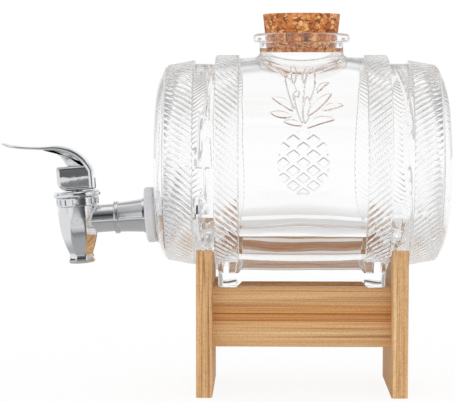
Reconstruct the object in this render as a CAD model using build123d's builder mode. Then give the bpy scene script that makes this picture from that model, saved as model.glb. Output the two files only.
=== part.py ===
from build123d import *
from math import cos, radians, sin, sqrt, tan
import os

# Small glass barrel lying on a wooden stand, with a cork on top and a chrome lever tap at one end.
# Millimetres. +X runs from the tap to the closed end, the front is at -Y, +Z is up.
# The origin is on the table, below the middle of the whole length.

# Barrel outside, along its axis from the middle to one end
belly_half = 32.9
belly_radius = 57.3
belly_fall = 0.9
inner_hoop_width = 12.9
hoop_proud = 0.5
waist_length = 10.7
waist_radius = 53.2
outer_hoop_width = 15.2
outer_hoop_radius = 54.9
outer_hoop_fall = 2.4
rim_width = 0.7
rim_radius = 51.2
end_length = 6.6
dome_radius = 420.0
dome_face_radius = 37.0
hoop_round = 1.1

# Barrel inside
belly_wall = 4.6
shoulder_wall = 5.6
shoulder_half = 62.0
end_wall = 5.0
end_flat_radius = 34.0
floor_rise = 10.5
floor_radius = 70.0

# Cork
cork_top_radius = 20.65
cork_height = 20.6
cork_taper = 0.109
cork_insert = 10.1
cork_edge = 0.5
cork_gap = 0.1

# Neck
neck_wall = 4.2
neck_height = 69.0
neck_start = 46.0
seat_runout = 2.0
lip_overhang = 3.3
lip_height = 4.7
lip_round = 1.6
neck_flare = 2.5

# Glass foot under the belly, its drop measured from the hoops
foot_depth = 54.0
foot_drop = 6.8
foot_root = 19.0
foot_corner = 5.0
foot_edge = 1.0
arch_height = 3.4
arch_span = 62.7
arch_slope = 3.4

# Trough in the foot, under the barrel's hollow
trough_end_wall = 4.7
trough_roof_wall = 4.4
trough_pad_wall = 5.8
trough_floor_half = 6.0
trough_slant = 30.0
trough_dip_start = 32.5

# Stand
leg_side_clearance = 1.1
leg_depth = 71.0
leg_edge = 0.8
cradle_clearance = 1.3
shoulder_drop = 44.4
rail_thickness = 8.8
rail_height = 31.5
rail_front = 26.0
rail_lift = 25.6
rail_edge = 0.6
foot_end_gap = 2.7
dowel_radius = 3.0
dowel_in_rail = 14.0
dowel_in_leg = 5.5
dowel_edge_distance = 8.0
dowel_fit = 0.05

# Where the tap goes through the closed end
tap_tilt = 4.4
tap_drop = 28.0
pad_radius = 15.4
pad_proud = 0.3
pad_wall = 5.8
hole_clearance = 0.3

# Tap shank
shank_reach = 41.7
thread_radius = 8.0
thread_length = 24.0
shank_bore = 4.0
collar_radius = 8.9
collar_width = 2.6
collar_round = 0.65
collar_distance = 19.3
cone_small_radius = 8.0
cone_large_radius = 9.0
flange_radius = 9.5
flange_width = 1.6
spigot_radius = 5.8
spigot_length = 6.0
spigot_fit = 0.05

# Gaskets and nut
gasket_radius = 14.9
gasket_width = 5.3
gasket_round = 1.4
inner_gasket_radius = 13.0
inner_gasket_width = 3.0
thread_fit = 0.05
nut_across_flats = 24.0
nut_width = 6.5
nut_flange_radius = 14.0
nut_flange_width = 1.6

# Tap body, heights from the shank's axis
body_top = 8.2
body_radius = 11.1
body_straight = 2.0
body_waist_radius = 7.0
body_waist_drop = 17.0
spout_end_radius = 7.5
spout_drop = 23.2
spout_flare_height = 5.0
spout_round = 1.6
socket_radius = 7.5
boss_radius = 10.0
boss_height = 4.0
chamber_radius = 7.8
chamber_drop = 4.5
seat_drop = 8.5
outlet_radius = 4.4
outlet_flare = 0.6

# Bonnet
bonnet_band_radius = 11.4
bonnet_radius = 12.7
bonnet_band_height = 4.2
bonnet_height = 7.8
bonnet_round = 1.8
bonnet_fit = 0.05
notch_count = 16
notch_width = 1.8
notch_depth = 1.0

# Valve stem and what it carries
stem_radius = 3.0
stem_fit = 0.05
stem_over_pin = 2.6
stem_foot_radius = 5.1
stem_foot_height = 1.2
pin_radius = 1.5
pin_length = 9.4
pin_fit = 0.05
pin_height = 5.0
cup_radius = 6.5
cup_wall = 1.2
cup_floor = 2.3
cup_lip_radius = 9.4
cup_lip_height = 1.0
seat_gap = 0.06
cup_gap = 0.1
cup_lift = 0.2
spring_wire = 0.8
spring_gap = 0.25
spring_turns = 7

# Lever
lever_gap = 0.3
lever_press_limit = 30.0
block_left = 9.7
block_right = 10.3
block_height = 13.2
block_half_width = 6.0
block_round = 1.8
web_half_width = 3.4
web_run = 5.0
web_foot_reach = 3.2
web_bend_reach = 7.3
web_sink = 1.0
plate_half_width = 6.6
plate_thickness = 3.2
blade_reach = 38.6
blade_top = 41.3
knee_reach = 11.7
blade_tip_rise = 3.6
blade_dip = 0.7
blade_tip_length = 8.0
arch_back_height = 26.5
slot_clearance = 0.3
slot_roof_gap = 1.6

# Places along the barrel's axis, from its middle
inner_hoop_end = belly_half + inner_hoop_width
waist_end = inner_hoop_end + waist_length
outer_hoop_end = waist_end + outer_hoop_width
rim_end = outer_hoop_end + rim_width
barrel_half = rim_end + end_length
dome_edge_x = barrel_half - (dome_radius - sqrt(dome_radius**2 - dome_face_radius**2))
belly_end_radius = belly_radius - belly_fall
hoop_radius = belly_radius + hoop_proud
outer_hoop_end_radius = outer_hoop_radius - outer_hoop_fall
cavity_half = barrel_half - end_wall
cavity_radius = belly_radius - belly_wall
cavity_shoulder_radius = waist_radius - shoulder_wall
floor_drop = cavity_radius - floor_rise

# Heights above the table
rail_top_z = rail_lift + rail_height
axis_z = rail_top_z + foot_drop + hoop_radius
leg_height = axis_z - shoulder_drop
lip_top_z = axis_z + neck_height
cork_bottom_z = lip_top_z - cork_insert

# Tap directions: out of the barrel along the shank, and up along the stem
tilt_cos = cos(radians(tap_tilt))
tilt_sin = sin(radians(tap_tilt))
pad_face_x = barrel_half - (dome_radius - sqrt(dome_radius**2 - tap_drop**2)) + pad_proud
tap_centre_x = pad_face_x + shank_reach * tilt_cos
tap_centre_z = axis_z - tap_drop - shank_reach * tilt_sin
blade_tip_z = blade_top + blade_tip_rise
tap_reach = tap_centre_x + blade_reach * tilt_cos + blade_tip_z * tilt_sin

# The barrel's middle stands off the origin by half of what the tap's end reaches further
barrel_x = (tap_reach - barrel_half) / 2

barrel_axis = Axis((barrel_x, 0, axis_z), (1, 0, 0))
barrel_side = Plane(origin=(barrel_x, 0, axis_z), x_dir=(1, 0, 0), z_dir=(0, -1, 0))
neck_axis = Axis((barrel_x, 0, axis_z), (0, 0, 1))
inward = Vector(tilt_cos, 0, tilt_sin)
upward = Vector(-tilt_sin, 0, tilt_cos)
tap_centre = Vector(barrel_x - tap_centre_x, 0, tap_centre_z)
tap_side = Plane(origin=tap_centre, x_dir=inward, z_dir=(0, -1, 0))
tap_plan = Plane(origin=tap_centre, x_dir=inward, z_dir=upward)
tap_end = Plane(origin=tap_centre, x_dir=(0, 1, 0), z_dir=inward)
stem_axis = Axis(tap_centre, upward)
shank_axis = Axis(tap_centre, inward)

# Places along the shank, from the stem's axis towards the barrel
glass_face = shank_reach
glass_inside = glass_face + pad_wall
gasket_start = glass_face - gasket_width
flange_start = gasket_start - flange_width
collar_end = collar_distance + collar_width
nut_start = glass_inside + inner_gasket_width
thread_end = gasket_start + thread_length

# Heights in the tap, from the shank's axis
boss_top = body_top + boss_height
bonnet_ceiling = boss_top + cup_lip_height
bonnet_top = body_top + bonnet_height
block_bottom = bonnet_top + lever_gap
block_top = block_bottom + block_height
pin_z = block_bottom + pin_height
cup_bottom = cup_lift - seat_drop
cup_floor_top = cup_bottom + cup_floor
stem_bottom = cup_floor_top + cup_gap
foot_top = stem_bottom + stem_foot_height
stem_top = pin_z + stem_over_pin

# The cam corner's centre lies level with the pin, so the stem rises by this much for each radian of press
cam_offset = block_left - pin_height

# Trough, its depths measured from the barrel's axis
foot_bottom_drop = hoop_radius + foot_drop
trough_drop = foot_bottom_drop - arch_height - trough_roof_wall
trough_dip_drop = foot_bottom_drop - trough_pad_wall
trough_flare = tan(radians(trough_slant))
trough_top_edge = trough_floor_half + trough_drop * trough_flare

# Stand places
leg_thickness = waist_length - 2 * leg_side_clearance
leg_x = (inner_hoop_end + waist_end) / 2
rail_half = leg_x - leg_thickness / 2
foot_half = rail_half - foot_end_gap
cradle_radius = waist_radius + cradle_clearance
trough_half = foot_half - trough_end_wall
trough_stretches = (
    (-trough_half, trough_half, trough_drop),
    (-trough_half, -trough_dip_start, trough_dip_drop),
    (trough_dip_start, trough_half, trough_dip_drop),
)

# Cork and neck radii
cork_bottom_radius = cork_top_radius - cork_taper * cork_height
cork_lip_radius = cork_bottom_radius + cork_taper * cork_insert
neck_bore = cork_bottom_radius + cork_gap - cork_taper * seat_runout
neck_radius = neck_bore + neck_wall
lip_radius = neck_radius + lip_overhang

os.makedirs("parts", exist_ok=True)


# Hollow inside the barrel: a thick floor of glass, and in it a trough that reaches down into the foot
with BuildPart() as hollow:
    with BuildSketch(barrel_side):
        with BuildLine():
            inside_top = ThreePointArc(
                (-shoulder_half, cavity_shoulder_radius),
                (0, cavity_radius),
                (shoulder_half, cavity_shoulder_radius),
            )
            TangentArc(inside_top @ 1, (cavity_half, end_flat_radius), tangent=inside_top % 1)
            TangentArc(inside_top @ 0, (-cavity_half, end_flat_radius), tangent=-(inside_top % 0))
            Polyline(
                (-cavity_half, end_flat_radius), (-cavity_half, 0),
                (cavity_half, 0), (cavity_half, end_flat_radius),
            )
        make_face()
    revolve(axis=barrel_axis)
    with BuildSketch(Plane.YZ.offset(barrel_x)):
        with Locations((0, axis_z + floor_radius - floor_drop)):
            Circle(floor_radius)
    extrude(amount=cavity_half, both=True, mode=Mode.INTERSECT)
    for start, end, drop in trough_stretches:
        foot_side = Plane(origin=(barrel_x + start, 0, axis_z), x_dir=(0, 1, 0), z_dir=(1, 0, 0))
        floor_edge = trough_top_edge - drop * trough_flare
        with BuildSketch(foot_side):
            with BuildLine():
                Polyline(
                    (-trough_top_edge, 0), (-floor_edge, -drop), (floor_edge, -drop), (trough_top_edge, 0),
                    close=True,
                )
            make_face()
        extrude(amount=end - start)


# Glass barrel
with BuildPart() as glass_barrel:
    with BuildSketch(barrel_side):
        with BuildLine():
            ThreePointArc((-belly_half, belly_end_radius), (0, belly_radius), (belly_half, belly_end_radius))
            for side in (-1, 1):
                Polyline(
                    (side * belly_half, belly_end_radius),
                    (side * belly_half, hoop_radius),
                    (side * inner_hoop_end, hoop_radius),
                    (side * inner_hoop_end, waist_radius),
                    (side * waist_end, waist_radius),
                    (side * waist_end, outer_hoop_radius),
                    (side * outer_hoop_end, outer_hoop_end_radius),
                    (side * outer_hoop_end, rim_radius),
                    (side * rim_end, rim_radius),
                )
                dome = RadiusArc(
                    (side * barrel_half, 0), (side * dome_edge_x, dome_face_radius), -side * dome_radius
                )
                TangentArc(dome @ 1, (side * rim_end, rim_radius), tangent=dome % 1)
            Line((-barrel_half, 0), (barrel_half, 0))
        make_face()
    revolve(axis=barrel_axis)
    hoop_edge_radii = (hoop_radius, outer_hoop_radius, outer_hoop_end_radius)
    hoop_edges = glass_barrel.edges().filter_by(GeomType.CIRCLE).filter_by(
        lambda e: min(abs(e.radius - r) for r in hoop_edge_radii) < 0.01
    )
    fillet(hoop_edges, hoop_round)

    # Neck with its lip, and the foot under the belly
    with BuildSketch(Plane.XY.offset(axis_z + neck_start)):
        with Locations((barrel_x, 0)):
            Circle(neck_radius)
    extrude(amount=neck_height - neck_start)
    neck_root = glass_barrel.edges(Select.LAST).filter_by(
        lambda e: e.geom_type != GeomType.LINE and e.center().Z < lip_top_z - lip_height
    )
    fillet(neck_root, neck_flare)
    with BuildSketch(Plane.XY.offset(lip_top_z - lip_height)):
        with Locations((barrel_x, 0)):
            Circle(lip_radius)
    extrude(amount=lip_height)
    lip_edges = glass_barrel.edges().filter_by(GeomType.CIRCLE).filter_by(
        lambda e: abs(e.radius - lip_radius) < 0.01 and e.center().Z > axis_z
    )
    fillet(lip_edges, lip_round)
    with BuildSketch(Plane.XY.offset(rail_top_z)):
        with Locations((barrel_x, 0)):
            RectangleRounded(2 * foot_half, foot_depth, foot_corner)
    extrude(amount=foot_drop + foot_root)
    with BuildSketch(Plane(origin=(barrel_x, 0, rail_top_z), x_dir=(1, 0, 0), z_dir=(0, -1, 0))):
        with BuildLine():
            Polyline(
                (-arch_span / 2 - arch_slope, 0),
                (-arch_span / 2, arch_height),
                (arch_span / 2, arch_height),
                (arch_span / 2 + arch_slope, 0),
                close=True,
            )
        make_face()
    extrude(amount=foot_depth, both=True, mode=Mode.SUBTRACT)
    fillet(glass_barrel.faces().sort_by(Axis.Z)[:2].edges(), foot_edge)

    # Hollow inside, the neck's bore with the cork's tapered seat, and the flat pad with the tap's hole
    add(hollow.part, mode=Mode.SUBTRACT)
    with BuildSketch(barrel_side):
        with BuildLine():
            Polyline(
                (0, 0), (neck_bore, 0),
                (neck_bore, neck_height - cork_insert - seat_runout),
                (cork_lip_radius + cork_gap, neck_height),
                (0, neck_height),
                close=True,
            )
        make_face()
    revolve(axis=neck_axis, mode=Mode.SUBTRACT)
    with BuildSketch(tap_end.offset(glass_face)):
        Circle(pad_radius)
    extrude(amount=pad_wall)
    with BuildSketch(tap_end.offset(glass_face - pad_wall)):
        Circle(thread_radius + hole_clearance)
    extrude(amount=3 * pad_wall, mode=Mode.SUBTRACT)
glass_barrel.part.label = "glass_barrel"

# Cork stopper
with BuildPart() as cork_stopper:
    with BuildSketch(Plane(origin=(barrel_x, 0, cork_bottom_z), x_dir=(1, 0, 0), z_dir=(0, -1, 0))):
        with BuildLine():
            Polyline(
                (0, 0), (cork_bottom_radius, 0), (cork_top_radius, cork_height),
                (0, cork_height), close=True,
            )
        make_face()
    revolve(axis=neck_axis)
    chamfer(cork_stopper.edges().filter_by(GeomType.CIRCLE), cork_edge)
cork_stopper.part.label = "cork_stopper"


def leg(side):
    """Upright board whose top is cut out as a cradle round the barrel's waist."""
    middle = barrel_x + side * leg_x
    with BuildPart() as board:
        with BuildSketch(Plane.YZ.offset(middle - leg_thickness / 2)):
            with Locations((0, leg_height / 2)):
                Rectangle(leg_depth, leg_height)
            with Locations((0, axis_z)):
                Circle(cradle_radius, mode=Mode.SUBTRACT)
        extrude(amount=leg_thickness)
        chamfer(board.edges().filter_by(Axis.Z).group_by(Axis.Y)[0], leg_edge)
        chamfer(board.edges().filter_by(Axis.Z).group_by(Axis.Y)[-1], leg_edge)
        inner_face = barrel_x + side * rail_half
        with BuildSketch(Plane(origin=(inner_face, 0, 0), x_dir=(0, 1, 0), z_dir=(side, 0, 0))):
            for place in dowel_places(side):
                with Locations(place):
                    Circle(dowel_radius + dowel_fit)
        extrude(amount=dowel_in_leg + dowel_fit, mode=Mode.SUBTRACT)
    return board


def dowel_places(side, rails=(-1, 1)):
    """Dowel centres on a leg's inner face, across and up, two behind each rail's end."""
    places = []
    for rail in rails:
        across = rail * (rail_front - rail_thickness / 2)
        for height in (rail_lift + dowel_edge_distance, rail_top_z - dowel_edge_distance):
            places.append((across, side * height))
    return places


left_leg = leg(-1)
left_leg.part.label = "left_leg"
right_leg = leg(1)
right_leg.part.label = "right_leg"


def rail(front):
    """Board between the legs that carries one long edge of the glass foot."""
    with BuildPart() as board:
        with BuildSketch(Plane.XY.offset(rail_lift)):
            with Locations((barrel_x, front * (rail_front - rail_thickness / 2))):
                Rectangle(2 * rail_half, rail_thickness)
        extrude(amount=rail_height)
        chamfer(board.edges().filter_by(Axis.X), rail_edge)
        for side in (-1, 1):
            end = Plane(origin=(barrel_x + side * rail_half, 0, 0), x_dir=(0, 1, 0), z_dir=(side, 0, 0))
            with BuildSketch(end):
                for place in dowel_places(side, rails=(front,)):
                    with Locations(place):
                        Circle(dowel_radius + dowel_fit)
            extrude(amount=-dowel_in_rail - dowel_fit, mode=Mode.SUBTRACT)
    return board


front_rail = rail(-1)
front_rail.part.label = "front_rail"
rear_rail = rail(1)
rear_rail.part.label = "rear_rail"


def rail_dowels(front):
    """Four hidden dowels, two in each end of one rail."""
    with BuildPart() as pegs:
        for side in (-1, 1):
            start = barrel_x + side * (rail_half - dowel_in_rail)
            with BuildSketch(Plane(origin=(start, 0, 0), x_dir=(0, 1, 0), z_dir=(side, 0, 0))):
                for place in dowel_places(side, rails=(front,)):
                    with Locations(place):
                        Circle(dowel_radius)
            extrude(amount=dowel_in_rail + dowel_in_leg)
    return pegs


front_rail_dowels = rail_dowels(-1)
front_rail_dowels.part.label = "front_rail_dowels"
rear_rail_dowels = rail_dowels(1)
rear_rail_dowels.part.label = "rear_rail_dowels"

# Tap body: spout, valve chamber and the socket that takes the shank's spigot
with BuildPart() as tap_body:
    with BuildSketch(tap_side):
        with BuildLine():
            Polyline(
                (0, boss_top), (boss_radius, boss_top), (boss_radius, body_top),
                (body_radius, body_top), (body_radius, body_straight),
            )
            body_flank = TangentArc(
                (body_radius, body_straight), (body_waist_radius, -body_waist_drop), tangent=(0, -1)
            )
            TangentArc(body_flank @ 1, (spout_end_radius, -spout_drop), tangent=body_flank % 1)
            Polyline((spout_end_radius, -spout_drop), (0, -spout_drop), (0, boss_top))
        make_face()
    revolve(axis=stem_axis)
    with BuildSketch(tap_end):
        Circle(socket_radius)
    extrude(amount=collar_distance)
    spout_rim = tap_body.edges().filter_by(GeomType.CIRCLE).filter_by(
        lambda e: abs(e.radius - spout_end_radius) < 0.01
    ).sort_by(stem_axis)[0]
    fillet(spout_rim, spout_round)
    with BuildSketch(tap_side):
        with BuildLine():
            Polyline(
                (0, boss_top), (chamber_radius, boss_top), (chamber_radius, -chamber_drop),
                (outlet_radius, -seat_drop), (outlet_radius, -spout_drop + spout_flare_height),
                (outlet_radius + outlet_flare, -spout_drop), (0, -spout_drop), close=True,
            )
        make_face()
    revolve(axis=stem_axis, mode=Mode.SUBTRACT)
    with BuildSketch(tap_end):
        Circle(shank_bore)
    extrude(amount=collar_distance, mode=Mode.SUBTRACT)
    with BuildSketch(tap_end.offset(collar_distance)):
        Circle(spigot_radius + spigot_fit)
    extrude(amount=-spigot_length - spigot_fit, mode=Mode.SUBTRACT)
tap_body.part.label = "tap_body"

# Tap shank: spigot, collar, cone, flange and the threaded length through the glass
with BuildPart() as tap_shank:
    with BuildSketch(tap_side):
        with BuildLine():
            Polyline(
                (collar_distance - spigot_length, shank_bore),
                (collar_distance - spigot_length, spigot_radius),
                (collar_distance, spigot_radius),
                (collar_distance, collar_radius),
                (collar_end, collar_radius),
                (collar_end, cone_small_radius),
                (flange_start, cone_large_radius),
                (flange_start, flange_radius),
                (gasket_start, flange_radius),
                (gasket_start, thread_radius),
                (thread_end, thread_radius),
                (thread_end, shank_bore),
                close=True,
            )
        make_face()
    revolve(axis=shank_axis)
    collar_edges = tap_shank.edges().filter_by(GeomType.CIRCLE).filter_by(
        lambda e: abs(e.radius - collar_radius) < 0.01
    )
    fillet(collar_edges, collar_round)
tap_shank.part.label = "tap_shank"

# Soft gaskets on both sides of the glass, and the nut that draws them up
with BuildPart() as outer_gasket:
    with BuildSketch(tap_end.offset(gasket_start)):
        Circle(gasket_radius)
        Circle(thread_radius + thread_fit, mode=Mode.SUBTRACT)
    extrude(amount=gasket_width)
    gasket_edges = outer_gasket.edges().filter_by(GeomType.CIRCLE).filter_by(
        lambda e: abs(e.radius - gasket_radius) < 0.01
    )
    fillet(gasket_edges, gasket_round)
outer_gasket.part.label = "outer_gasket"

with BuildPart() as inner_gasket:
    with BuildSketch(tap_end.offset(glass_inside)):
        Circle(inner_gasket_radius)
        Circle(thread_radius + thread_fit, mode=Mode.SUBTRACT)
    extrude(amount=inner_gasket_width)
inner_gasket.part.label = "inner_gasket"

with BuildPart() as tap_nut:
    with BuildSketch(tap_end.offset(nut_start)):
        RegularPolygon(nut_across_flats / 2, 6, major_radius=False)
    extrude(amount=nut_width)
    with BuildSketch(tap_end.offset(nut_start)):
        Circle(nut_flange_radius)
    extrude(amount=nut_flange_width)
    with BuildSketch(tap_end.offset(nut_start)):
        Circle(thread_radius + thread_fit)
    extrude(amount=nut_width, mode=Mode.SUBTRACT)
tap_nut.part.label = "tap_nut"

# Bonnet: screwed cap with a ring of notches
with BuildPart() as tap_bonnet:
    with BuildSketch(tap_side):
        with BuildLine():
            Polyline(
                (boss_radius + bonnet_fit, body_top),
                (bonnet_band_radius, body_top),
                (bonnet_band_radius, body_top + bonnet_band_height),
                (bonnet_radius, body_top + bonnet_band_height + bonnet_radius - bonnet_band_radius),
                (bonnet_radius, bonnet_top),
                (stem_radius + stem_fit, bonnet_top),
                (stem_radius + stem_fit, bonnet_ceiling),
                (boss_radius + bonnet_fit, bonnet_ceiling),
                close=True,
            )
        make_face()
    revolve(axis=stem_axis)
    bonnet_shoulder = tap_bonnet.edges().filter_by(GeomType.CIRCLE).filter_by(
        lambda e: abs(e.radius - bonnet_radius) < 0.01
    ).sort_by(stem_axis)[-1]
    fillet(bonnet_shoulder, bonnet_round)
    with BuildSketch(tap_plan.offset(body_top)):
        with PolarLocations(bonnet_band_radius, notch_count):
            Rectangle(2 * notch_depth, notch_width)
    extrude(amount=bonnet_band_height, mode=Mode.SUBTRACT)
tap_bonnet.part.label = "tap_bonnet"

# Valve stem: rod with a foot in the seat cup and a cross hole for the lever's pin
with BuildPart() as valve_stem:
    with BuildSketch(tap_plan.offset(stem_bottom)):
        Circle(stem_foot_radius)
    extrude(amount=stem_foot_height)
    with BuildSketch(tap_plan.offset(stem_bottom)):
        Circle(stem_radius)
    extrude(amount=stem_top - stem_bottom)
    with BuildSketch(tap_side):
        with Locations((0, pin_z)):
            Circle(pin_radius + pin_fit)
    extrude(amount=2 * stem_radius, both=True, mode=Mode.SUBTRACT)
valve_stem.part.label = "valve_stem"

with BuildPart() as lever_pin:
    with BuildSketch(tap_side):
        with Locations((0, pin_z)):
            Circle(pin_radius)
    extrude(amount=pin_length / 2, both=True)
lever_pin.part.label = "lever_pin"

# Seat cup: soft bell that closes the outlet, its lip held between the body and the bonnet
seat_slope = (chamber_radius - outlet_radius) / (seat_drop - chamber_drop)
cup_cone_top = -chamber_drop - (chamber_radius - cup_radius) / seat_slope + seat_gap
cup_tip_radius = outlet_radius + seat_slope * (cup_bottom + seat_drop - seat_gap)
with BuildPart() as seat_cup:
    with BuildSketch(tap_side):
        with BuildLine():
            Polyline(
                (0, cup_bottom), (cup_tip_radius, cup_bottom), (cup_radius, cup_cone_top),
                (cup_radius, boss_top), (cup_lip_radius, boss_top),
                (cup_lip_radius, bonnet_ceiling), (cup_radius - cup_wall, bonnet_ceiling),
                (cup_radius - cup_wall, cup_floor_top), (0, cup_floor_top), close=True,
            )
        make_face()
    revolve(axis=stem_axis)
seat_cup.part.label = "seat_cup"

# Return spring inside the cup, between the stem's foot and the bonnet's ceiling
spring_radius = cup_radius - cup_wall - spring_gap - spring_wire / 2
spring_start = foot_top + spring_wire / 2
spring_height = bonnet_ceiling - foot_top - spring_wire
with BuildPart() as return_spring:
    with BuildLine():
        coil = Helix(
            pitch=spring_height / spring_turns,
            height=spring_height,
            radius=spring_radius,
            center=tap_centre + upward * spring_start,
            direction=upward,
        )
    with BuildSketch(Plane(origin=coil @ 0, z_dir=coil % 0)):
        Circle(spring_wire / 2)
    sweep(path=coil, is_frenet=True)
return_spring.part.label = "return_spring"

# Lever: block over the stem, an arched plate rising from its back, a web under the arch and the blade
plate_start = (-blade_reach, blade_tip_z)
plate_knee = (-knee_reach, blade_top)
blade_middle = (-(blade_reach + knee_reach) / 2, blade_top + blade_dip)
web_start = (plate_knee[0] - web_run, blade_top - plate_thickness / 2)
web_foot = (-web_foot_reach, block_top - web_sink)
web_bend = (-web_bend_reach, (block_top + blade_top) / 2)
slot_half = (pin_height * tan(radians(lever_press_limit))
             + stem_radius / cos(radians(lever_press_limit)) + slot_clearance)

with BuildPart() as tap_lever:
    with BuildSketch(tap_side):
        with BuildLine():
            Polyline(
                (-block_left, pin_z), (-block_left, block_top),
                (block_right - plate_thickness / 2, block_top), (block_right, arch_back_height),
                (block_right, block_bottom), (-cam_offset, block_bottom),
            )
            RadiusArc((-cam_offset, block_bottom), (-block_left, pin_z), pin_height)
        make_face()
    extrude(amount=block_half_width, both=True)
    fillet(tap_lever.faces().filter_by(Axis.Y).edges(), block_round)
    with BuildSketch(tap_side):
        with BuildLine():
            blade = ThreePointArc(plate_start, blade_middle, plate_knee)
            arch = TangentArc(plate_knee, (block_right, arch_back_height), tangent=blade % 1)
            Line((block_right, arch_back_height), (block_right, block_bottom + block_round))
            offset(amount=plate_thickness, side=Side.RIGHT)
        make_face()
    extrude(amount=plate_half_width, both=True)
    with BuildSketch(tap_plan):
        with BuildLine():
            Polyline(
                (-blade_reach + blade_tip_length, -plate_half_width), (block_right, -plate_half_width),
                (block_right, plate_half_width), (-blade_reach + blade_tip_length, plate_half_width),
            )
            ThreePointArc(
                (-blade_reach + blade_tip_length, plate_half_width), (-blade_reach, 0),
                (-blade_reach + blade_tip_length, -plate_half_width),
            )
        make_face()
    extrude(amount=2 * blade_tip_z, mode=Mode.INTERSECT)
    with BuildSketch(tap_side):
        with BuildLine():
            Polyline(
                web_start,
                (plate_knee[0], blade_top - plate_thickness / 2),
                arch @ 0.5 - Vector(plate_thickness, plate_thickness) / 2,
                (block_right - plate_thickness / 2, web_foot[1]),
                web_foot,
            )
            ThreePointArc(web_foot, web_bend, web_start)
        make_face()
    extrude(amount=web_half_width, both=True)
    with BuildSketch(tap_side):
        with Locations((0, (block_bottom + pin_z + stem_over_pin + slot_roof_gap) / 2)):
            Rectangle(2 * slot_half, pin_height + stem_over_pin + slot_roof_gap)
    extrude(amount=stem_radius + slot_clearance, both=True, mode=Mode.SUBTRACT)
    with BuildSketch(tap_side):
        with Locations((0, pin_z)):
            Circle(pin_radius + pin_fit)
    extrude(amount=pin_length / 2 + pin_fit, both=True, mode=Mode.SUBTRACT)
tap_lever.part.label = "tap_lever"

pieces = [
    glass_barrel, cork_stopper, left_leg, right_leg, front_rail, rear_rail, front_rail_dowels,
    rear_rail_dowels, tap_body, tap_shank, outer_gasket, inner_gasket, tap_nut, tap_bonnet,
    valve_stem, lever_pin, seat_cup, return_spring, tap_lever,
]
for piece in pieces:
    export_step(piece.part, f"parts/{piece.part.label}.step")
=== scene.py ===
"""Looks of the small glass drink barrel on its wooden stand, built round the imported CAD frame.

Sizes are in millimetres, as in the CAD source, and become metres where a mesh is made. Heights and
angles in the barrel are taken from its axis, and its x from its middle. Places in the tap are taken
from its centre, as (towards the barrel, up).
"""

from math import asin, atan2, cos, degrees, hypot, pi, radians, sin, sqrt

import bmesh
import bpy
import numpy as np
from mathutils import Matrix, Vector


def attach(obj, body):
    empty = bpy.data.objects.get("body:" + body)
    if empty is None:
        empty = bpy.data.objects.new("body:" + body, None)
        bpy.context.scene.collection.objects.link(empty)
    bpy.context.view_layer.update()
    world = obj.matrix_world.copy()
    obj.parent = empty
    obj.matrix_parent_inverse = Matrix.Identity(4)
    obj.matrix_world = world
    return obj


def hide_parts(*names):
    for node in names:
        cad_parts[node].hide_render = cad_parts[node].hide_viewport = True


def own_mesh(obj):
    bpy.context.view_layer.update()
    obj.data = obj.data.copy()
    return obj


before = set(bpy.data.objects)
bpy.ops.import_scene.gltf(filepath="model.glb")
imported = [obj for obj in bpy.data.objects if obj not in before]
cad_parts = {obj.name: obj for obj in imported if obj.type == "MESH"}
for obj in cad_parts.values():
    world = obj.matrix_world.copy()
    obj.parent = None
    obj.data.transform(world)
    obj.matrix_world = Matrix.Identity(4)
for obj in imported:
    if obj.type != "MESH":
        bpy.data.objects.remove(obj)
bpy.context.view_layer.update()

MM = 0.001
SHARP = 34.0

# The barrel's middle, and the tap's centre and directions
BARREL_X = 41.4368
AXIS_Z = 121.7
TAP_CENTRE = np.array((-78.5059, 0.0, 90.5008))
TILT = radians(4.4)
INWARD = np.array((cos(TILT), 0.0, sin(TILT)))
UPWARD = np.array((-sin(TILT), 0.0, cos(TILT)))
ACROSS = np.array((0.0, 1.0, 0.0))


# Mesh helpers

def add_object(name, points, faces, sharp=SHARP):
    """Mesh object from points in millimetres and faces, with its normals outward."""
    mesh = bpy.data.meshes.new(name)
    mesh.from_pydata((np.asarray(points, float) * MM).tolist(), [], faces)
    obj = bpy.data.objects.new(name, mesh)
    bpy.context.scene.collection.objects.link(obj)
    work = bmesh.new()
    work.from_mesh(mesh)
    bmesh.ops.recalc_face_normals(work, faces=work.faces)
    if work.calc_volume(signed=True) < 0:
        bmesh.ops.reverse_faces(work, faces=work.faces)
    work.to_mesh(mesh)
    work.free()
    shade(obj, sharp)
    return obj


def shade(obj, sharp=SHARP):
    """Smooth shading, with edges over an angle in degrees kept sharp."""
    obj.data.shade_smooth()
    obj.data.set_sharp_from_angle(angle=radians(sharp))


def skin(name, rings, sharp=SHARP, loop=False):
    """Closed mesh through rings of points. In a loop the last ring joins the first, and otherwise a
    flat face covers each end."""
    rings = np.asarray(rings, float)
    rows, columns = rings.shape[:2]
    faces = []
    for i in range(rows if loop else rows - 1):
        low, high = i * columns, (i + 1) % rows * columns
        for j in range(columns):
            k = (j + 1) % columns
            faces.append((low + j, low + k, high + k, high + j))
    if not loop:
        faces.append(tuple(range(columns))[::-1])
        faces.append(tuple(range((rows - 1) * columns, rows * columns)))
    return add_object(name, rings.reshape(-1, 3), faces, sharp)


def arc(cx, cy, radius, start, end, count):
    """Points of an arc, its angles in degrees."""
    return [(cx + radius * cos(radians(a)), cy + radius * sin(radians(a)))
            for a in np.linspace(start, end, count)]


def tangent_arc(start, direction, end, count):
    """Points of the arc that leaves start along direction and reaches end."""
    px, py = start
    dx, dy = np.asarray(direction) / hypot(*direction)
    qx, qy = end[0] - px, end[1] - py
    radius = (qx * qx + qy * qy) / (2 * (dx * qy - dy * qx))
    cx, cy = px - dy * radius, py + dx * radius
    first = atan2(py - cy, px - cx)
    last = atan2(end[1] - cy, end[0] - cx)
    while radius > 0 and last < first:
        last += 2 * pi
    while radius < 0 and last > first:
        last -= 2 * pi
    return [(cx + abs(radius) * cos(a), cy + abs(radius) * sin(a))
            for a in np.linspace(first, last, count)]


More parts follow.
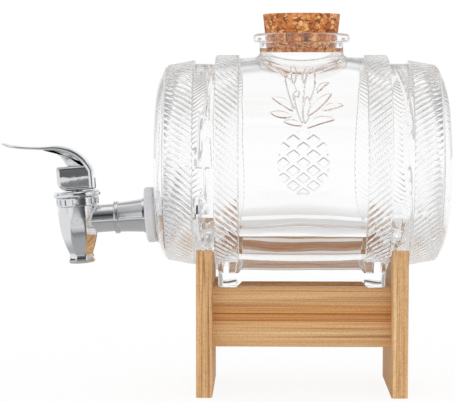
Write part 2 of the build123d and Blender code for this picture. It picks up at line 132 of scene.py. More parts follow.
def full_turn(columns):
    return np.linspace(0, 2 * pi, columns, endpoint=False)


def limited(value):
    return min(1.0, max(0.0, value))


def smooth_step(value, low, high):
    t = limited((value - low) / (high - low))
    return t * t * (3 - 2 * t)


def turned(name, profile, columns, along_shank=False, shape=None, **finish):
    """Mesh turned round an axis of the tap. profile holds (place on the axis, radius) pairs; shape
    gives the radii of a ring from its place, radius and angles."""
    turn = full_turn(columns)
    axis, first = (INWARD, UPWARD) if along_shank else (UPWARD, INWARD)
    rings = []
    for place, radius in profile:
        radii = shape(place, radius, turn) if shape else np.full(columns, radius)
        rings.append(TAP_CENTRE + axis * place + np.outer(radii * np.cos(turn), first)
                     + np.outer(radii * np.sin(turn), ACROSS))
    return skin(name, rings, **finish)


def tap_points(flat, across=0.0):
    """Points of the tap's middle plane, moved across it."""
    flat = np.asarray(flat, float)
    return (TAP_CENTRE + np.outer(flat[:, 0], INWARD) + np.outer(flat[:, 1], UPWARD)
            + np.outer(np.broadcast_to(across, len(flat)), ACROSS))


def tap_prism(name, outline, half):
    """Straight prism across the tap, half its width to each side."""
    return skin(name, [tap_points(outline, -half), tap_points(outline, half)])


def combine(base, tool, operation):
    """base with the closed mesh tool joined or cut away; tool is used up."""
    change = base.modifiers.new("change", "BOOLEAN")
    change.operation, change.object, change.solver = operation, tool, "MANIFOLD"
    bpy.context.view_layer.update()
    made = bpy.data.meshes.new_from_object(base.evaluated_get(bpy.context.evaluated_depsgraph_get()))
    base.modifiers.clear()
    old, base.data = base.data, made
    made.name = base.name
    used = tool.data
    bpy.data.objects.remove(tool)
    for mesh in (old, used):
        bpy.data.meshes.remove(mesh)
    if not len(made.polygons):
        raise RuntimeError(f"{base.name} came out empty")
    return base


def join(base, tool):
    return combine(base, tool, "UNION")


def cut(base, tool):
    return combine(base, tool, "DIFFERENCE")


# Glass barrel: outside

BELLY_HALF, BELLY_RADIUS, BELLY_FALL = 32.9, 57.3, 0.9
INNER_HOOP_END, HOOP_RADIUS = 45.8, 57.78
WAIST_END, WAIST_RADIUS = 56.5, 53.2
OUTER_HOOP_END, OUTER_HOOP_RADIUS, OUTER_HOOP_LOW = 71.7, 54.9, 52.5
RIM_END, RIM_RADIUS = 72.4, 51.2
BARREL_HALF, DOME_RADIUS, DOME_FACE_RADIUS = 79.0, 420.0, 37.0
HOOP_ROUND, HOOP_ROWS, CORNER_ROWS = 1.1, 5, 9
RIB_COUNT, RIB_STEPS, RIB_DEPTH, RIB_SLOPE = 100, 8, 0.42, 0.86
COLUMNS = RIB_COUNT * RIB_STEPS

# Window of the relief on the belly: half its width, its rings, the height of its fine rows, how many
# fine columns stand in one of the belly's, and its first and last column, counted from the front
RELIEF_HALF, RELIEF_RINGS, RELIEF_ROW, RELIEF_SPLIT = 21.0, 7, 0.3, 2
RELIEF_FIRST, RELIEF_LAST = -50, 158

# Places of the rows between the hoops, and the radii of those on the domed ends
BELLY_ROWS, WAIST_ROWS = (RELIEF_HALF, 25.0, 29.0, 32.0), (46.6, 49.0, 53.3, 55.7)
DOME_ROWS = (30.0, 22.0, 14.0, 7.0, 2.0)


def belly_radius(x):
    curve = (BELLY_HALF ** 2 + BELLY_FALL ** 2) / (2 * BELLY_FALL)
    return BELLY_RADIUS - curve + np.sqrt(curve ** 2 - np.asarray(x, float) ** 2)


def hoop_rows(x0, r0, x1, r1, foot0, foot1):
    """Rows (x, radius, share of the rib depth) over one hoop with rounded edges."""
    fall = degrees(atan2(r0 - r1, x1 - x0))
    rows = [(x0, foot0, 0.0), (x0, (foot0 + r0 - HOOP_ROUND) / 2, 0.0)]
    start = arc(x0 + HOOP_ROUND, r0 - HOOP_ROUND, HOOP_ROUND, 180, 90 - fall, HOOP_ROWS)
    end = arc(x1 - HOOP_ROUND, r1 - HOOP_ROUND, HOOP_ROUND, 90 - fall, 0, HOOP_ROWS)
    rows += [(x, r, i / (HOOP_ROWS - 1)) for i, (x, r) in enumerate(start)]
    a, b = start[-1], end[0]
    rows += [(a[0] + (b[0] - a[0]) * t, a[1] + (b[1] - a[1]) * t, 1.0) for t in (0.25, 0.5, 0.75)]
    rows += [(x, r, 1 - i / (HOOP_ROWS - 1)) for i, (x, r) in enumerate(end)]
    rows += [(x1, (foot1 + r1 - HOOP_ROUND) / 2, 0.0), (x1, foot1, 0.0)]
    return rows


def outside_half():
    """Rows (x, radius, rib share) from the relief's edge to the middle of one domed end."""
    rows = [(x, belly_radius(x), 0.0) for x in BELLY_ROWS]
    rows += hoop_rows(BELLY_HALF, HOOP_RADIUS, INNER_HOOP_END, HOOP_RADIUS,
                      belly_radius(BELLY_HALF), WAIST_RADIUS)
    rows += [(x, WAIST_RADIUS, 0.0) for x in WAIST_ROWS]
    rows += hoop_rows(WAIST_END, OUTER_HOOP_RADIUS, OUTER_HOOP_END, OUTER_HOOP_LOW,
                      WAIST_RADIUS, RIM_RADIUS)
    lean = asin(DOME_FACE_RADIUS / DOME_RADIUS)
    edge_x = BARREL_HALF - DOME_RADIUS * (1 - cos(lean))
    corner = tangent_arc((edge_x, DOME_FACE_RADIUS), (-sin(lean), cos(lean)),
                         (RIM_END, RIM_RADIUS), CORNER_ROWS)
    rows += [(x, r, 0.0) for x, r in corner[::-1]]
    rows += [(BARREL_HALF - DOME_RADIUS + sqrt(DOME_RADIUS ** 2 - r * r), r, 0.0) for r in DOME_ROWS]
    return rows


def barrel_point(x, radius, turn):
    """Point of the barrel from its axial place, radius and angle up from the front."""
    return (BARREL_X + x, -radius * np.cos(turn), AXIS_Z + radius * np.sin(turn))


def outside_ring(x, radius, share):
    """One ring of the outside. The columns follow the ribs, so a few rows carry them."""
    column = np.arange(COLUMNS)
    slide = RIB_SLOPE * max(0.0, abs(x) - BELLY_HALF) / HOOP_RADIUS
    turn = 2 * pi * column / COLUMNS + slide
    phase = (column % RIB_STEPS) / RIB_STEPS
    radii = radius - share * RIB_DEPTH * (2 * phase - 1) ** 2
    return np.column_stack(np.broadcast_arrays(*barrel_point(x, radii, turn)))


def glass_outside():
    """Outside of the moulding, with the fine relief set into a window of its belly."""
    half = outside_half()
    middle = np.linspace(-RELIEF_HALF, RELIEF_HALF, RELIEF_RINGS)[1:-1]
    rows = [(-x, r, share) for x, r, share in half[::-1]]
    rows += [(x, belly_radius(x), 0.0) for x in middle] + half
    points = np.concatenate([outside_ring(*row) for row in rows])
    first_row, last_row = len(half) - 1, len(half) + len(middle)

    # Points of the window. Those on its edges that the outside has already are shared with it
    spans = last_row - first_row
    per_span = round(2 * RELIEF_HALF / spans / RELIEF_ROW)
    fine_count = spans * per_span
    fine_x = np.linspace(-RELIEF_HALF, RELIEF_HALF, fine_count + 1)
    fine_column = np.arange(RELIEF_FIRST * RELIEF_SPLIT, RELIEF_LAST * RELIEF_SPLIT + 1)
    coarse_column = fine_column // RELIEF_SPLIT % COLUMNS
    wide = len(fine_column)
    index = np.full((fine_count + 1, wide), -1)
    index[::per_span, ::wide - 1] = (np.arange(first_row, last_row + 1)[:, None] * COLUMNS
                                     + coarse_column[::wide - 1])
    for i, row in ((0, first_row), (fine_count, last_row)):
        index[i, ::RELIEF_SPLIT] = row * COLUMNS + coarse_column[::RELIEF_SPLIT]
    extra = []
    for i, j in np.argwhere(index < 0):
        index[i, j] = len(points) + len(extra)
        turn = 2 * pi * fine_column[j] / RELIEF_SPLIT / COLUMNS
        rise = relief(fine_x[i], turn * BELLY_RADIUS)
        extra.append(barrel_point(fine_x[i], belly_radius(fine_x[i]) + rise, turn))
    points = np.concatenate([points, np.array(extra, float)])
    index = index.tolist()

    # Faces round the window. Those beside it take in the points on its edge
    inside = {c % COLUMNS for c in range(RELIEF_FIRST, RELIEF_LAST)}
    before, after = (RELIEF_FIRST - 1) % COLUMNS, RELIEF_LAST % COLUMNS
    faces = []
    for i in range(len(rows) - 1):
        low, high = i * COLUMNS, (i + 1) * COLUMNS
        in_window = first_row <= i < last_row
        start = (i - first_row) * per_span
        beside = index[start + 1:start + per_span] if in_window else []
        for j in range(COLUMNS):
            k = (j + 1) % COLUMNS
            if in_window and j in inside:
                continue
            face = [low + j, low + k, high + k, high + j]
            if j in inside and i in (first_row - 1, last_row):
                split = ((j - RELIEF_FIRST) % COLUMNS) * RELIEF_SPLIT
                edge = index[0 if i < first_row else fine_count][split + 1:split + RELIEF_SPLIT]
                place, added = (3, edge[::-1]) if i < first_row else (1, edge)
                face[place:place] = added
            if j == before:
                face[2:2] = [row[0] for row in beside]
            if j == after:
                face += [row[-1] for row in beside][::-1]
            faces.append(tuple(face))
    for low, high in zip(index, index[1:]):
        faces += [(low[j], low[j + 1], high[j + 1], high[j]) for j in range(wide - 1)]
    for ring in (0, len(rows) - 1):
        pole = len(points)
        x = BARREL_HALF if ring else -BARREL_HALF
        points = np.vstack([points, (BARREL_X + x, 0, AXIS_Z)])
        faces += [(ring * COLUMNS + j, ring * COLUMNS + (j + 1) % COLUMNS, pole)
                  for j in range(COLUMNS)]
    return add_object("glass_barrel_moulded", points, faces)


# Moulded fruit on the belly: a common ornament, drawn from formulas

FRUIT_HALF, FRUIT_HEIGHT, FRUIT_MIDDLE, FRUIT_FADE = 14.4, 17.6, 2.6, 0.12
CELL_WIDE, CELL_HIGH = 10.2, 7.8
PAD_SINK, PAD_LEAST, WEB_RISE, PAD_EDGE, PAD_GAP = 0.62, 0.15, 0.30, 0.07, 0.13
LEAF_RISE, LEAF_GROOVE, LEAF_EDGE, LEAF_GAP, LEAF_POINT = 0.45, 0.30, 0.34, 0.45, 0.8

# Leaves of the crown: foot and tip as (across, up), how far the middle bows out, and half the width
LEAVES = [
    ((-8.0, 51.9), (-12.1, 59.7), 0.0, 0.90),
    ((-4.9, 47.0), (-4.8, 66.4), 0.2, 1.40),
    ((0.4, 48.1), (3.5, 64.2), -0.4, 1.20),
    ((-4.5, 31.0), (-8.9, 53.1), 1.2, 2.20),
    ((0.6, 31.0), (4.6, 62.2), 0.9, 2.50),
    ((7.2, 41.1), (13.3, 48.8), -1.1, 1.30),
    ((-4.0, 35.0), (-2.2, 42.5), -0.6, 1.35),
    ((-0.5, 23.0), (-4.2, 38.7), 1.0, 2.00),
    ((0.8, 22.8), (2.0, 38.1), 0.4, 1.90),
    ((2.4, 27.0), (14.4, 40.7), -0.7, 2.10),
    ((-5.5, 29.9), (-15.8, 38.1), 1.3, 2.00),
    ((9.4, 30.2), (20.3, 33.5), -0.9, 1.75),
    ((-6.0, 26.7), (-16.7, 28.9), 0.1, 1.80),
    ((-0.7, 21.6), (-10.1, 23.9), 0.6, 1.40),
    ((2.0, 20.4), (15.8, 25.1), -1.9, 1.95),
]


def leaf_height(x, up, foot, tip, bow, half_width):
    """Height of one pointed leaf with a thin groove round it, or None off the leaf."""
    length = hypot(tip[0] - foot[0], tip[1] - foot[1])
    ux, uy = (tip[0] - foot[0]) / length, (tip[1] - foot[1]) / length
    along = ((x - foot[0]) * ux + (up - foot[1]) * uy) / length
    side = abs((x - foot[0]) * uy - (up - foot[1]) * ux - bow * 4 * along * (1 - along))
    t = limited(along)
    margin = half_width * (4 * t * (1 - t)) ** LEAF_POINT - side - length * abs(along - t)
    if margin < -LEAF_GAP:
        return None
    if margin < 0:
        return -LEAF_GROOVE * (1 - abs(2 * margin / LEAF_GAP + 1))
    return LEAF_RISE * min(1.0, margin / LEAF_EDGE)


def relief(x, up):
    """Height of the moulded fruit over the belly, at a place across and up its surface. The fruit's
    pads are sunk, deepest along their upper edges."""
    height = 0.0
    for leaf in LEAVES:
        found = leaf_height(x, up, *leaf)
        if found is not None:
            height = found
    above = up - FRUIT_MIDDLE
    inside = 1 - hypot(x / FRUIT_HALF, above / FRUIT_HEIGHT)
    if inside > 0:
        a, b = x / CELL_WIDE + above / CELL_HIGH, x / CELL_WIDE - above / CELL_HIGH
        right, left = a - round(a), b - round(b)
        margin = 0.5 - max(abs(right), abs(left))
        pad = limited((margin - PAD_GAP) / PAD_EDGE)
        upward = limited(0.5 + (right - left) / (1 - 2 * PAD_GAP))
        sunk = PAD_SINK * (PAD_LEAST + (1 - PAD_LEAST) * upward)
        height = limited(inside / FRUIT_FADE) * (WEB_RISE * (1 - pad) - sunk * pad)
    return height


# Glass barrel: neck, foot, pad and hollow

NECK_RADIUS, NECK_HEIGHT, NECK_FLARE, NECK_BORE = 22.487, 69.0, 2.5, 18.287
NECK_COLUMNS, BORE_COLUMNS = 192, 160
LIP_RADIUS, LIP_HEIGHT, LIP_ROUND, LIP_FILLET = 25.787, 4.7, 1.6, 0.8
SEAT_LOW, SEAT_RADIUS, CORK_GAP = 56.9, 19.505, 0.1
FOOT_HALF, FOOT_HALF_DEPTH, FOOT_CORNER, FOOT_EDGE = 44.2, 27.0, 5.0, 1.0
FOOT_Z, FOOT_TOP, FOOT_ROW = 57.1, 82.9, 6.0
ARCH_HALF, ARCH_SLOPE, ARCH_HEIGHT, ARCH_ROUND, ARCH_INSET = 31.35, 3.4, 3.4, 1.0, 0.4
PAD_RADIUS, PAD_ROUND, GLASS_FACE, PAD_WALL, TAP_HOLE = 15.4, 0.4, 41.7, 5.8, 8.3
CAVITY_RADIUS, SHOULDER_HALF, SHOULDER_RADIUS = 52.7, 62.0, 47.6
CAVITY_HALF, END_FLAT, END_ROWS = 74.0, 34.0, (22.0, 10.0, 2.0)
CAVITY_STATIONS, CAVITY_COLUMNS = 90, 400
FLOOR_DROP, FLOOR_RADIUS, FLOOR_BLEND = 42.2, 70.0, 5.0

# The trough in the foot: its depth and how much it deepens near its ends, half its floor and how it
# flares, where the deeper part starts and where it runs out, the radii that round it off, and the
# sines of the angle below level where it ends and where its depth is no longer followed
TROUGH_DROP, TROUGH_DIP, TROUGH_FLOOR, TROUGH_FLARE = 56.8, 2.0, 6.0, 0.577
TROUGH_DIP_STARTS, TROUGH_ENDS = (31.5, 33.5), (38.3, 40.0)
TROUGH_BLEND, TROUGH_JOIN, TROUGH_EDGE, TROUGH_LEAST = 1.2, 1.5, 0.5, 0.2

# Waves of the hollow and the radii where they set in. Folds in the waists: their height, width and
# place, and how far they wander
WAVE, WAVE_STARTS = 0.28, (20.0, 40.0)
FOLD, FOLD_WIDE, FOLD_PLACE, FOLD_WANDER, FOLD_SHIVER = 1.1, 1.2, 51.2, 3.2, 0.8
BORE_ROUND = 2.0

# Feet of the neck and of its bore: how far inward and at what height they start, how far below the
# surface the flare starts, how far it is sunk, and its steps
NECK_FOOT, BORE_FOOT = (3.0, 46.0, 0.6, 0.06, 8), (3.0, 30.0, 1.5, 0.0, 9)


def neck_circle(radius, columns):
    turn = full_turn(columns)
    return radius * np.cos(turn), radius * np.sin(turn)


def neck_ring(radius, height, columns):
    """Ring round the neck's axis, at one height or at one for each point."""
    x, y = neck_circle(radius, columns)
    return np.column_stack([BARREL_X + x, y, AXIS_Z + np.broadcast_to(height, x.shape)])


def height_over(reach, radius, columns):
    """Heights, round the neck's axis, of the top of a surface with radius reach(x)."""
    x, y = neck_circle(radius, columns)
    return np.sqrt(reach(x) ** 2 - y ** 2)


def flared_rings(reach, radius, flare, foot, columns):
    """Rings of the flare between a surface with radius reach(x) and a column on it."""
    inward, start, skirt, sunk, steps = foot
    wide = radius + flare
    rings = [neck_ring(wide - inward, start, columns),
             neck_ring(wide, height_over(reach, wide, columns) - skirt, columns)]
    for step in np.linspace(0, pi / 2, steps):
        wide = radius + flare * (1 - sin(step))
        height = height_over(reach, wide, columns) - sunk + flare * (1 - cos(step))
        rings.append(neck_ring(wide, height, columns))
    return rings


def neck_solid():
    """Neck with a flare that follows the belly, and a rounded lip."""
    low = NECK_HEIGHT - LIP_HEIGHT
    rings = flared_rings(belly_radius, NECK_RADIUS, NECK_FLARE, NECK_FOOT, NECK_COLUMNS)
    lip = arc(NECK_RADIUS + LIP_FILLET, low - LIP_FILLET, LIP_FILLET, 180, 90, 4)
    lip += arc(LIP_RADIUS - LIP_ROUND, low + LIP_ROUND, LIP_ROUND, -90, 0, 6)
    lip += arc(LIP_RADIUS - LIP_ROUND, NECK_HEIGHT - LIP_ROUND, LIP_ROUND, 0, 90, 6)
    rings += [neck_ring(r, z, NECK_COLUMNS) for r, z in lip + [(NECK_BORE / 2, NECK_HEIGHT)]]
    return skin("neck", rings)


def foot_solid():
    """Rounded glass foot with its shallow arch."""
    def ring(inset, z):
        points = []
        for sx, sy, start in ((1, 1, 0), (-1, 1, 90), (-1, -1, 180), (1, -1, 270)):
            cx, cy = sx * (FOOT_HALF - FOOT_CORNER), sy * (FOOT_HALF_DEPTH - FOOT_CORNER)
            points += [(BARREL_X + px, py, z)
                       for px, py in arc(cx, cy, FOOT_CORNER - inset, start, start + 90, 9)]
        return points

    edge = [(FOOT_EDGE - x, FOOT_EDGE + z) for x, z in arc(0, 0, FOOT_EDGE, -90, 0, 5)]
    foot = skin("foot", [ring(inset, FOOT_Z + z) for inset, z in edge + [(0, FOOT_ROW)]]
                + [ring(0, FOOT_TOP)])
    outside, round_x = ARCH_HALF + ARCH_SLOPE, ARCH_HALF - ARCH_INSET
    half = [(outside + 1, -1), (outside, 0)]
    half += arc(round_x, ARCH_HEIGHT - ARCH_ROUND, ARCH_ROUND, 30, 90, 4)
    outline = [(-x, z) for x, z in half] + half[::-1]
    rings = [[(BARREL_X + x, y, FOOT_Z + z) for x, z in outline]
             for y in (-FOOT_HALF_DEPTH - 1, FOOT_HALF_DEPTH + 1)]
    return cut(foot, skin("arch", rings))


def lesser(a, b, blend):
    """The smaller of two values, rounded off where they are alike."""
    share = np.clip(0.5 + (b - a) / (2 * blend), 0, 1)
    return b + (a - b) * share - blend * share * (1 - share)


def over_floor(x, radius, turn):
    """Radius of the hollow at an angle: held above the thick round floor, but let down into the
    trough that reaches into the foot."""
    centre = FLOOR_RADIUS - FLOOR_DROP
    up = centre * np.sin(turn)
    radius = lesser(radius, up + np.sqrt(up ** 2 + FLOOR_RADIUS ** 2 - centre ** 2), FLOOR_BLEND)
    down, side = np.maximum(-np.sin(turn), TROUGH_LEAST), np.abs(np.cos(turn))
    drop = TROUGH_DROP + TROUGH_DIP * smooth_step(abs(x), *TROUGH_DIP_STARTS)
    slanted = (TROUGH_FLOOR + TROUGH_DROP * TROUGH_FLARE) / (side + down * TROUGH_FLARE)
    deeper = lesser(drop / down, slanted, TROUGH_BLEND) - radius
    trough = radius + deeper * (1 - smooth_step(abs(x), *TROUGH_ENDS))

    # Well above the foot there is no trough, so the floor alone counts
    trough = np.where(np.sin(turn) < -TROUGH_EDGE, trough, radius - 4 * TROUGH_JOIN)
    return -lesser(-radius, -trough, TROUGH_JOIN)


def waist_fold(x, turn):
    """Thin wandering folds in the glass of the two waists."""
    middle = (FOLD_PLACE + FOLD_WANDER * np.sin(2.3 * turn + (0.5 if x > 0 else 2.4))
              + FOLD_SHIVER * np.sin(7 * turn + x))
    return FOLD * np.exp(-((abs(x) - middle) / FOLD_WIDE) ** 2)


def hollow_radius(x):
    return CAVITY_RADIUS - (CAVITY_RADIUS - SHOULDER_RADIUS) * (x / SHOULDER_HALF) ** 2


def cavity_solid():
    """Hollow of the barrel over its thick floor, with the faint waves of blown glass."""
    half = [(x, hollow_radius(x)) for x in np.linspace(2.0, SHOULDER_HALF, CAVITY_STATIONS)]
    fall = 2 * (CAVITY_RADIUS - SHOULDER_RADIUS) / SHOULDER_HALF
    half += tangent_arc(half[-1], (1, -fall), (CAVITY_HALF, END_FLAT), 12)[1:]
    half += [(CAVITY_HALF, r) for r in END_ROWS]
    turn = full_turn(CAVITY_COLUMNS)
    rings = []
    for x, radius in [(-x, r) for x, r in half[::-1]] + half:
        swell = (np.sin(3 * turn + x / 9) + np.sin(5 * turn - x / 14 + 1.3)
                 + np.sin(2 * turn + x / 5.5 + 0.6)) / 3
        waves = WAVE * smooth_step(radius, *WAVE_STARTS) * swell + waist_fold(x, turn)
        place = barrel_point(x, over_floor(x, radius, turn) + waves, turn)
        rings.append(np.column_stack(np.broadcast_arrays(*place)))
    return skin("cavity", rings)


def bore_solid():
    """Bore of the neck, rounded where it opens into the hollow, with the cork's tapered seat."""
    seat = SEAT_RADIUS + CORK_GAP
    rings = flared_rings(hollow_radius, NECK_BORE, BORE_ROUND, BORE_FOOT, BORE_COLUMNS)
    for radius, height in ((NECK_BORE, SEAT_LOW + 1.5), (seat, NECK_HEIGHT - 0.5),
                           (seat + 0.7, NECK_HEIGHT + 0.2), (seat + 0.9, NECK_HEIGHT + 2)):
        rings.append(neck_ring(radius, height, BORE_COLUMNS))
    return skin("bore", rings)


def glass_solid():
    glass = glass_outside()
    join(glass, neck_solid())
    join(glass, foot_solid())
    cut(glass, cavity_solid())
    cut(glass, bore_solid())
    back = GLASS_FACE + PAD_WALL
    pad = [(GLASS_FACE, PAD_RADIUS - 0.3), (GLASS_FACE + 0.2, PAD_RADIUS),
           (back - PAD_ROUND, PAD_RADIUS), (back, PAD_RADIUS - PAD_ROUND)]
    join(glass, turned("pad", pad, 96, True))
    cut(glass, turned("hole", [(GLASS_FACE - 3, TAP_HOLE), (GLASS_FACE + 12, TAP_HOLE)], 96, True))
    shade(glass)
    return glass


# Cork

CORK_LOW, CORK_LOW_RADIUS, CORK_HIGH, CORK_RADIUS, CORK_EDGE = 180.6, 18.405, 201.2, 20.65, 0.5
CORK_BEVEL, CORK_COLUMNS, CORK_END_ROWS, CORK_SIDE_ROWS = 0.15, 180, 22, 26


def cork_solid():
    """Tapered stopper with slightly rounded edges."""
    height = CORK_HIGH - CORK_LOW
    slope = (CORK_RADIUS - CORK_LOW_RADIUS) / height
    profile = [(r, CORK_LOW) for r in np.linspace(1.0, CORK_LOW_RADIUS - CORK_EDGE, CORK_END_ROWS)]
    profile += [(CORK_LOW_RADIUS - CORK_BEVEL, CORK_LOW + CORK_BEVEL)]
    profile += [(CORK_LOW_RADIUS + slope * z, CORK_LOW + z)
                for z in np.linspace(CORK_EDGE, height - CORK_EDGE, CORK_SIDE_ROWS)]
    profile += [(CORK_RADIUS - CORK_BEVEL, CORK_HIGH - CORK_BEVEL)]
    profile += [(r, CORK_HIGH) for r in np.linspace(CORK_RADIUS - CORK_EDGE, 1.0, CORK_END_ROWS)]
    return skin("cork_granules", [neck_ring(r, z - AXIS_Z, CORK_COLUMNS) for r, z in profile])


# Tap: body, bonnet, shank, gaskets, nut

BODY_RADIUS, BODY_WIDEST, NARROW_RADIUS, NARROW_PLACE = 11.1, 2.0, 7.0, -17.0
SPOUT_END, SPOUT_RADIUS, SPOUT_ROUND = -23.2, 7.5, 1.6
SOCKET_START, SOCKET_END, SOCKET_RADIUS = 3.0, 19.3, 7.5
OCTAGON_STARTS, OCTAGON_SLACK = (-5.5, 1.5), 1.02
CEILING, BONNET_TOP, BONNET_RADIUS, BONNET_ROUND = 13.2, 16.0, 12.7, 1.8
WINDOWS, WINDOW_HALF_TURN, WINDOW_HEIGHTS, WINDOW_RADII = 16, 0.145, (8.9, 11.8), (10.4, 12.6)
TUBE_BEAD, BEAD_RADIUS = 0.6, 8.9
THREAD_START, THREAD_END, THREAD_RADIUS, THREAD_STATION = 36.4, 60.0, 8.0, 0.125
THREAD_PITCH, THREAD_DEPTH, RING_BORE = 1.5, 0.75, 8.05
NUT_FLANGE, NUT_EDGE, NUT_HALF_FLATS = 52.1, 13.7, 12.0
WIRE, SPRING_RADIUS, SPRING_START, SPRING_HEIGHT, SPRING_TURNS = 0.8, 4.65, -4.3, 17.1, 7
BODY_SHARP, BONNET_SHARP, SHANK_SHARP, NUT_SHARP, LEVER_SHARP = 28, 30, 24, 25, 35

# Parts of the profiles, as (place on the axis, radius)
SPOUT_FOOT = [(-22.9, 4.0), (SPOUT_END, 5.6)]
SHOULDER = [(7.6, 11.1), (8.0, 10.9), (8.2, 10.6), (8.2, 10.0), (12.2, 10.0)]
CHAMBER = [(-24.0, 5.05), (SPOUT_END, 5.0), (-18.2, 4.4), (-8.5, 4.4), (-4.5, 7.8), (13.0, 7.8)]
DUCT, SPIGOT_HOLE = [(1.0, 4.0), (21.0, 4.0)], [(13.25, 5.85), (21.0, 5.85)]
BONNET_BAND = [(8.2, 10.05), (8.2, 11.2), (8.35, 11.4), (12.3, 11.4), (12.6, 11.7), (CEILING, 12.5)]
BONNET_INSIDE = [(BONNET_TOP, 3.6), (15.75, 3.05), (CEILING, 3.05), (CEILING, 10.05)]
SPIGOT = [(13.3, 4.0), (13.3, 5.8), (SOCKET_END, 5.8), (SOCKET_END, 7.6), (19.35, 8.4)]
COLLAR_GROOVE = [(20.3, BEAD_RADIUS), (20.45, 8.55), (20.75, 8.55), (20.9, BEAD_RADIUS)]
TUBE = [(21.9, 8.0), (25.8, 8.2), (30.5, 8.6), (34.8, 9.0), (34.8, 9.3), (35.0, 9.5),
        (THREAD_START, 9.5)]
SHANK_FOOT = [(60.4, 7.2), (60.4, 4.0)]
NUT = [(50.5, RING_BORE), (50.5, NUT_EDGE), (50.8, 14.0), (51.8, 14.0), (NUT_FLANGE, NUT_EDGE),
       (NUT_FLANGE, 13.8), (55.6, 13.8), (56.1, 13.3), (56.6, 12.6), (57.0, 11.8), (57.0, RING_BORE)]
CUP = [(-8.3, 0.8), (-8.3, 4.7), (-5.85, 6.5), (12.2, 6.5), (12.2, 9.4), (CEILING, 9.4),
       (CEILING, 5.3), (-5.6, 5.3), (-6.0, 4.9), (-6.0, 0.8)]


def soft_octagon(place, radius, turn):
    """Radii of a circle that is drawn towards eight flat sides further down the body."""
    away = (turn + pi / 8) % (pi / 4) - pi / 8
    flat = cos(pi / 8) / np.cos(away) * OCTAGON_SLACK
    share = smooth_step(-place, *OCTAGON_STARTS)
    return radius * ((1 - share) + share * np.minimum(flat, 1.0))


def body_solid():
    """Spout with its flank, the socket of the shank, and the ways inside."""
    low = SPOUT_END + SPOUT_ROUND
    flank = tangent_arc((BODY_WIDEST, BODY_RADIUS), (-1, 0), (NARROW_PLACE, NARROW_RADIUS), 16)
    spout = tangent_arc(flank[-1], np.subtract(flank[-1], flank[-2]), (low, SPOUT_RADIUS), 8)
    outer = SPOUT_FOOT + arc(low, SPOUT_RADIUS - SPOUT_ROUND, SPOUT_ROUND, 180, 90, 5)[1:]
    outer += spout[-2::-1] + flank[-2::-1] + SHOULDER
    body = turned("tap_body_cast", outer, 160, shape=soft_octagon)
    socket = [(SOCKET_START, SOCKET_RADIUS), (SOCKET_END, SOCKET_RADIUS)]
    join(body, turned("socket", socket, 96, True))
    cut(body, turned("chamber", CHAMBER, 96))
    cut(body, turned("duct", DUCT, 64, True))
    cut(body, turned("spigot_hole", SPIGOT_HOLE, 64, True))
    shade(body, BODY_SHARP)
    return body


def bonnet_solid():
    """Screwed cap with a ring of sunk windows."""
    top = arc(BONNET_TOP - BONNET_ROUND, BONNET_RADIUS - BONNET_ROUND, BONNET_ROUND, 90, 0, 8)
    bonnet = turned("tap_bonnet_cast", BONNET_BAND + top + BONNET_INSIDE, 192, loop=True)
    faces = [(0, 1, 3, 2), (4, 6, 7, 5), (0, 4, 5, 1), (2, 3, 7, 6), (0, 2, 6, 4), (1, 5, 7, 3)]
    box = [(u, r, a) for u in WINDOW_HEIGHTS for r in WINDOW_RADII
           for a in (-WINDOW_HALF_TURN, WINDOW_HALF_TURN)]
    for turn in full_turn(WINDOWS):
        points = [TAP_CENTRE + UPWARD * u + r * (INWARD * cos(turn + a) + ACROSS * sin(turn + a))
                  for u, r, a in box]
        cut(bonnet, add_object("window", points, faces))
    shade(bonnet, BONNET_SHARP)
    return bonnet


def thread(place, radius, turn):
    """Radii of the shank, cut by a thread where it is at the thread's radius."""
    radii = np.full(turn.shape, float(radius))
    if place > THREAD_START and radius == THREAD_RADIUS:
        wave = (place / THREAD_PITCH - turn / (2 * pi)) % 1.0
        radii -= THREAD_DEPTH * np.clip(np.abs(2 * wave - 1) * 1.3 - 0.15, 0, 1)
    return radii


def shank_solid():
    """Spigot, collar between two fine grooves, swelling tube, flange and a real thread."""
    centre = BEAD_RADIUS - TUBE_BEAD
    profile = SPIGOT + arc(19.95, centre, TUBE_BEAD, 180, 90, 4) + COLLAR_GROOVE
    profile += arc(21.3, centre, TUBE_BEAD, 90, 0, 4) + TUBE
    profile += [(float(z), THREAD_RADIUS) for z in np.arange(THREAD_START, THREAD_END, THREAD_STATION)]
    return turned("tap_shank_turned", profile + SHANK_FOOT, 128, True, thread, sharp=SHANK_SHARP,
                  loop=True)


def ring_solid(name, start, end, radius, edge):
    """Flat ring on the shank with rounded outer edges."""
    profile = [(start, RING_BORE), (start, radius - edge)]
    profile += arc(start + edge, radius - edge, edge, 180, 90, 7)[1:]
    profile += arc(end - edge, radius - edge, edge, 90, 0, 7) + [(end, RING_BORE)]
    return turned(name, profile, 128, True, loop=True)


def hexagon(place, radius, turn):
    """Radii of the nut: round on its flange, six-sided behind it."""
    away = (turn + pi / 6) % (pi / 3) - pi / 6
    if place < NUT_FLANGE or radius in (RING_BORE, NUT_EDGE):
        return np.full(turn.shape, float(radius))
    return np.minimum(NUT_HALF_FLATS / np.cos(away), radius)


def nut_solid():
    return turned("tap_nut_turned", NUT, 144, True, hexagon, sharp=NUT_SHARP, loop=True)


def cup_solid():
    """Soft bell on the stem's foot."""
    return turned("seat_cup_soft", CUP, 72, loop=True)


def spring_solid():
    rings = []
    for part in np.linspace(0, 1, 48 * SPRING_TURNS + 1):
        turn = 2 * pi * SPRING_TURNS * part
        out = INWARD * cos(turn) + ACROSS * sin(turn)
        point = TAP_CENTRE + UPWARD * (SPRING_START + SPRING_HEIGHT * part) + out * SPRING_RADIUS
        rings.append([point + WIRE / 2 * (out * cos(a) + UPWARD * sin(a)) for a in full_turn(12)])
    return skin("return_spring_coil", rings)


# Lever

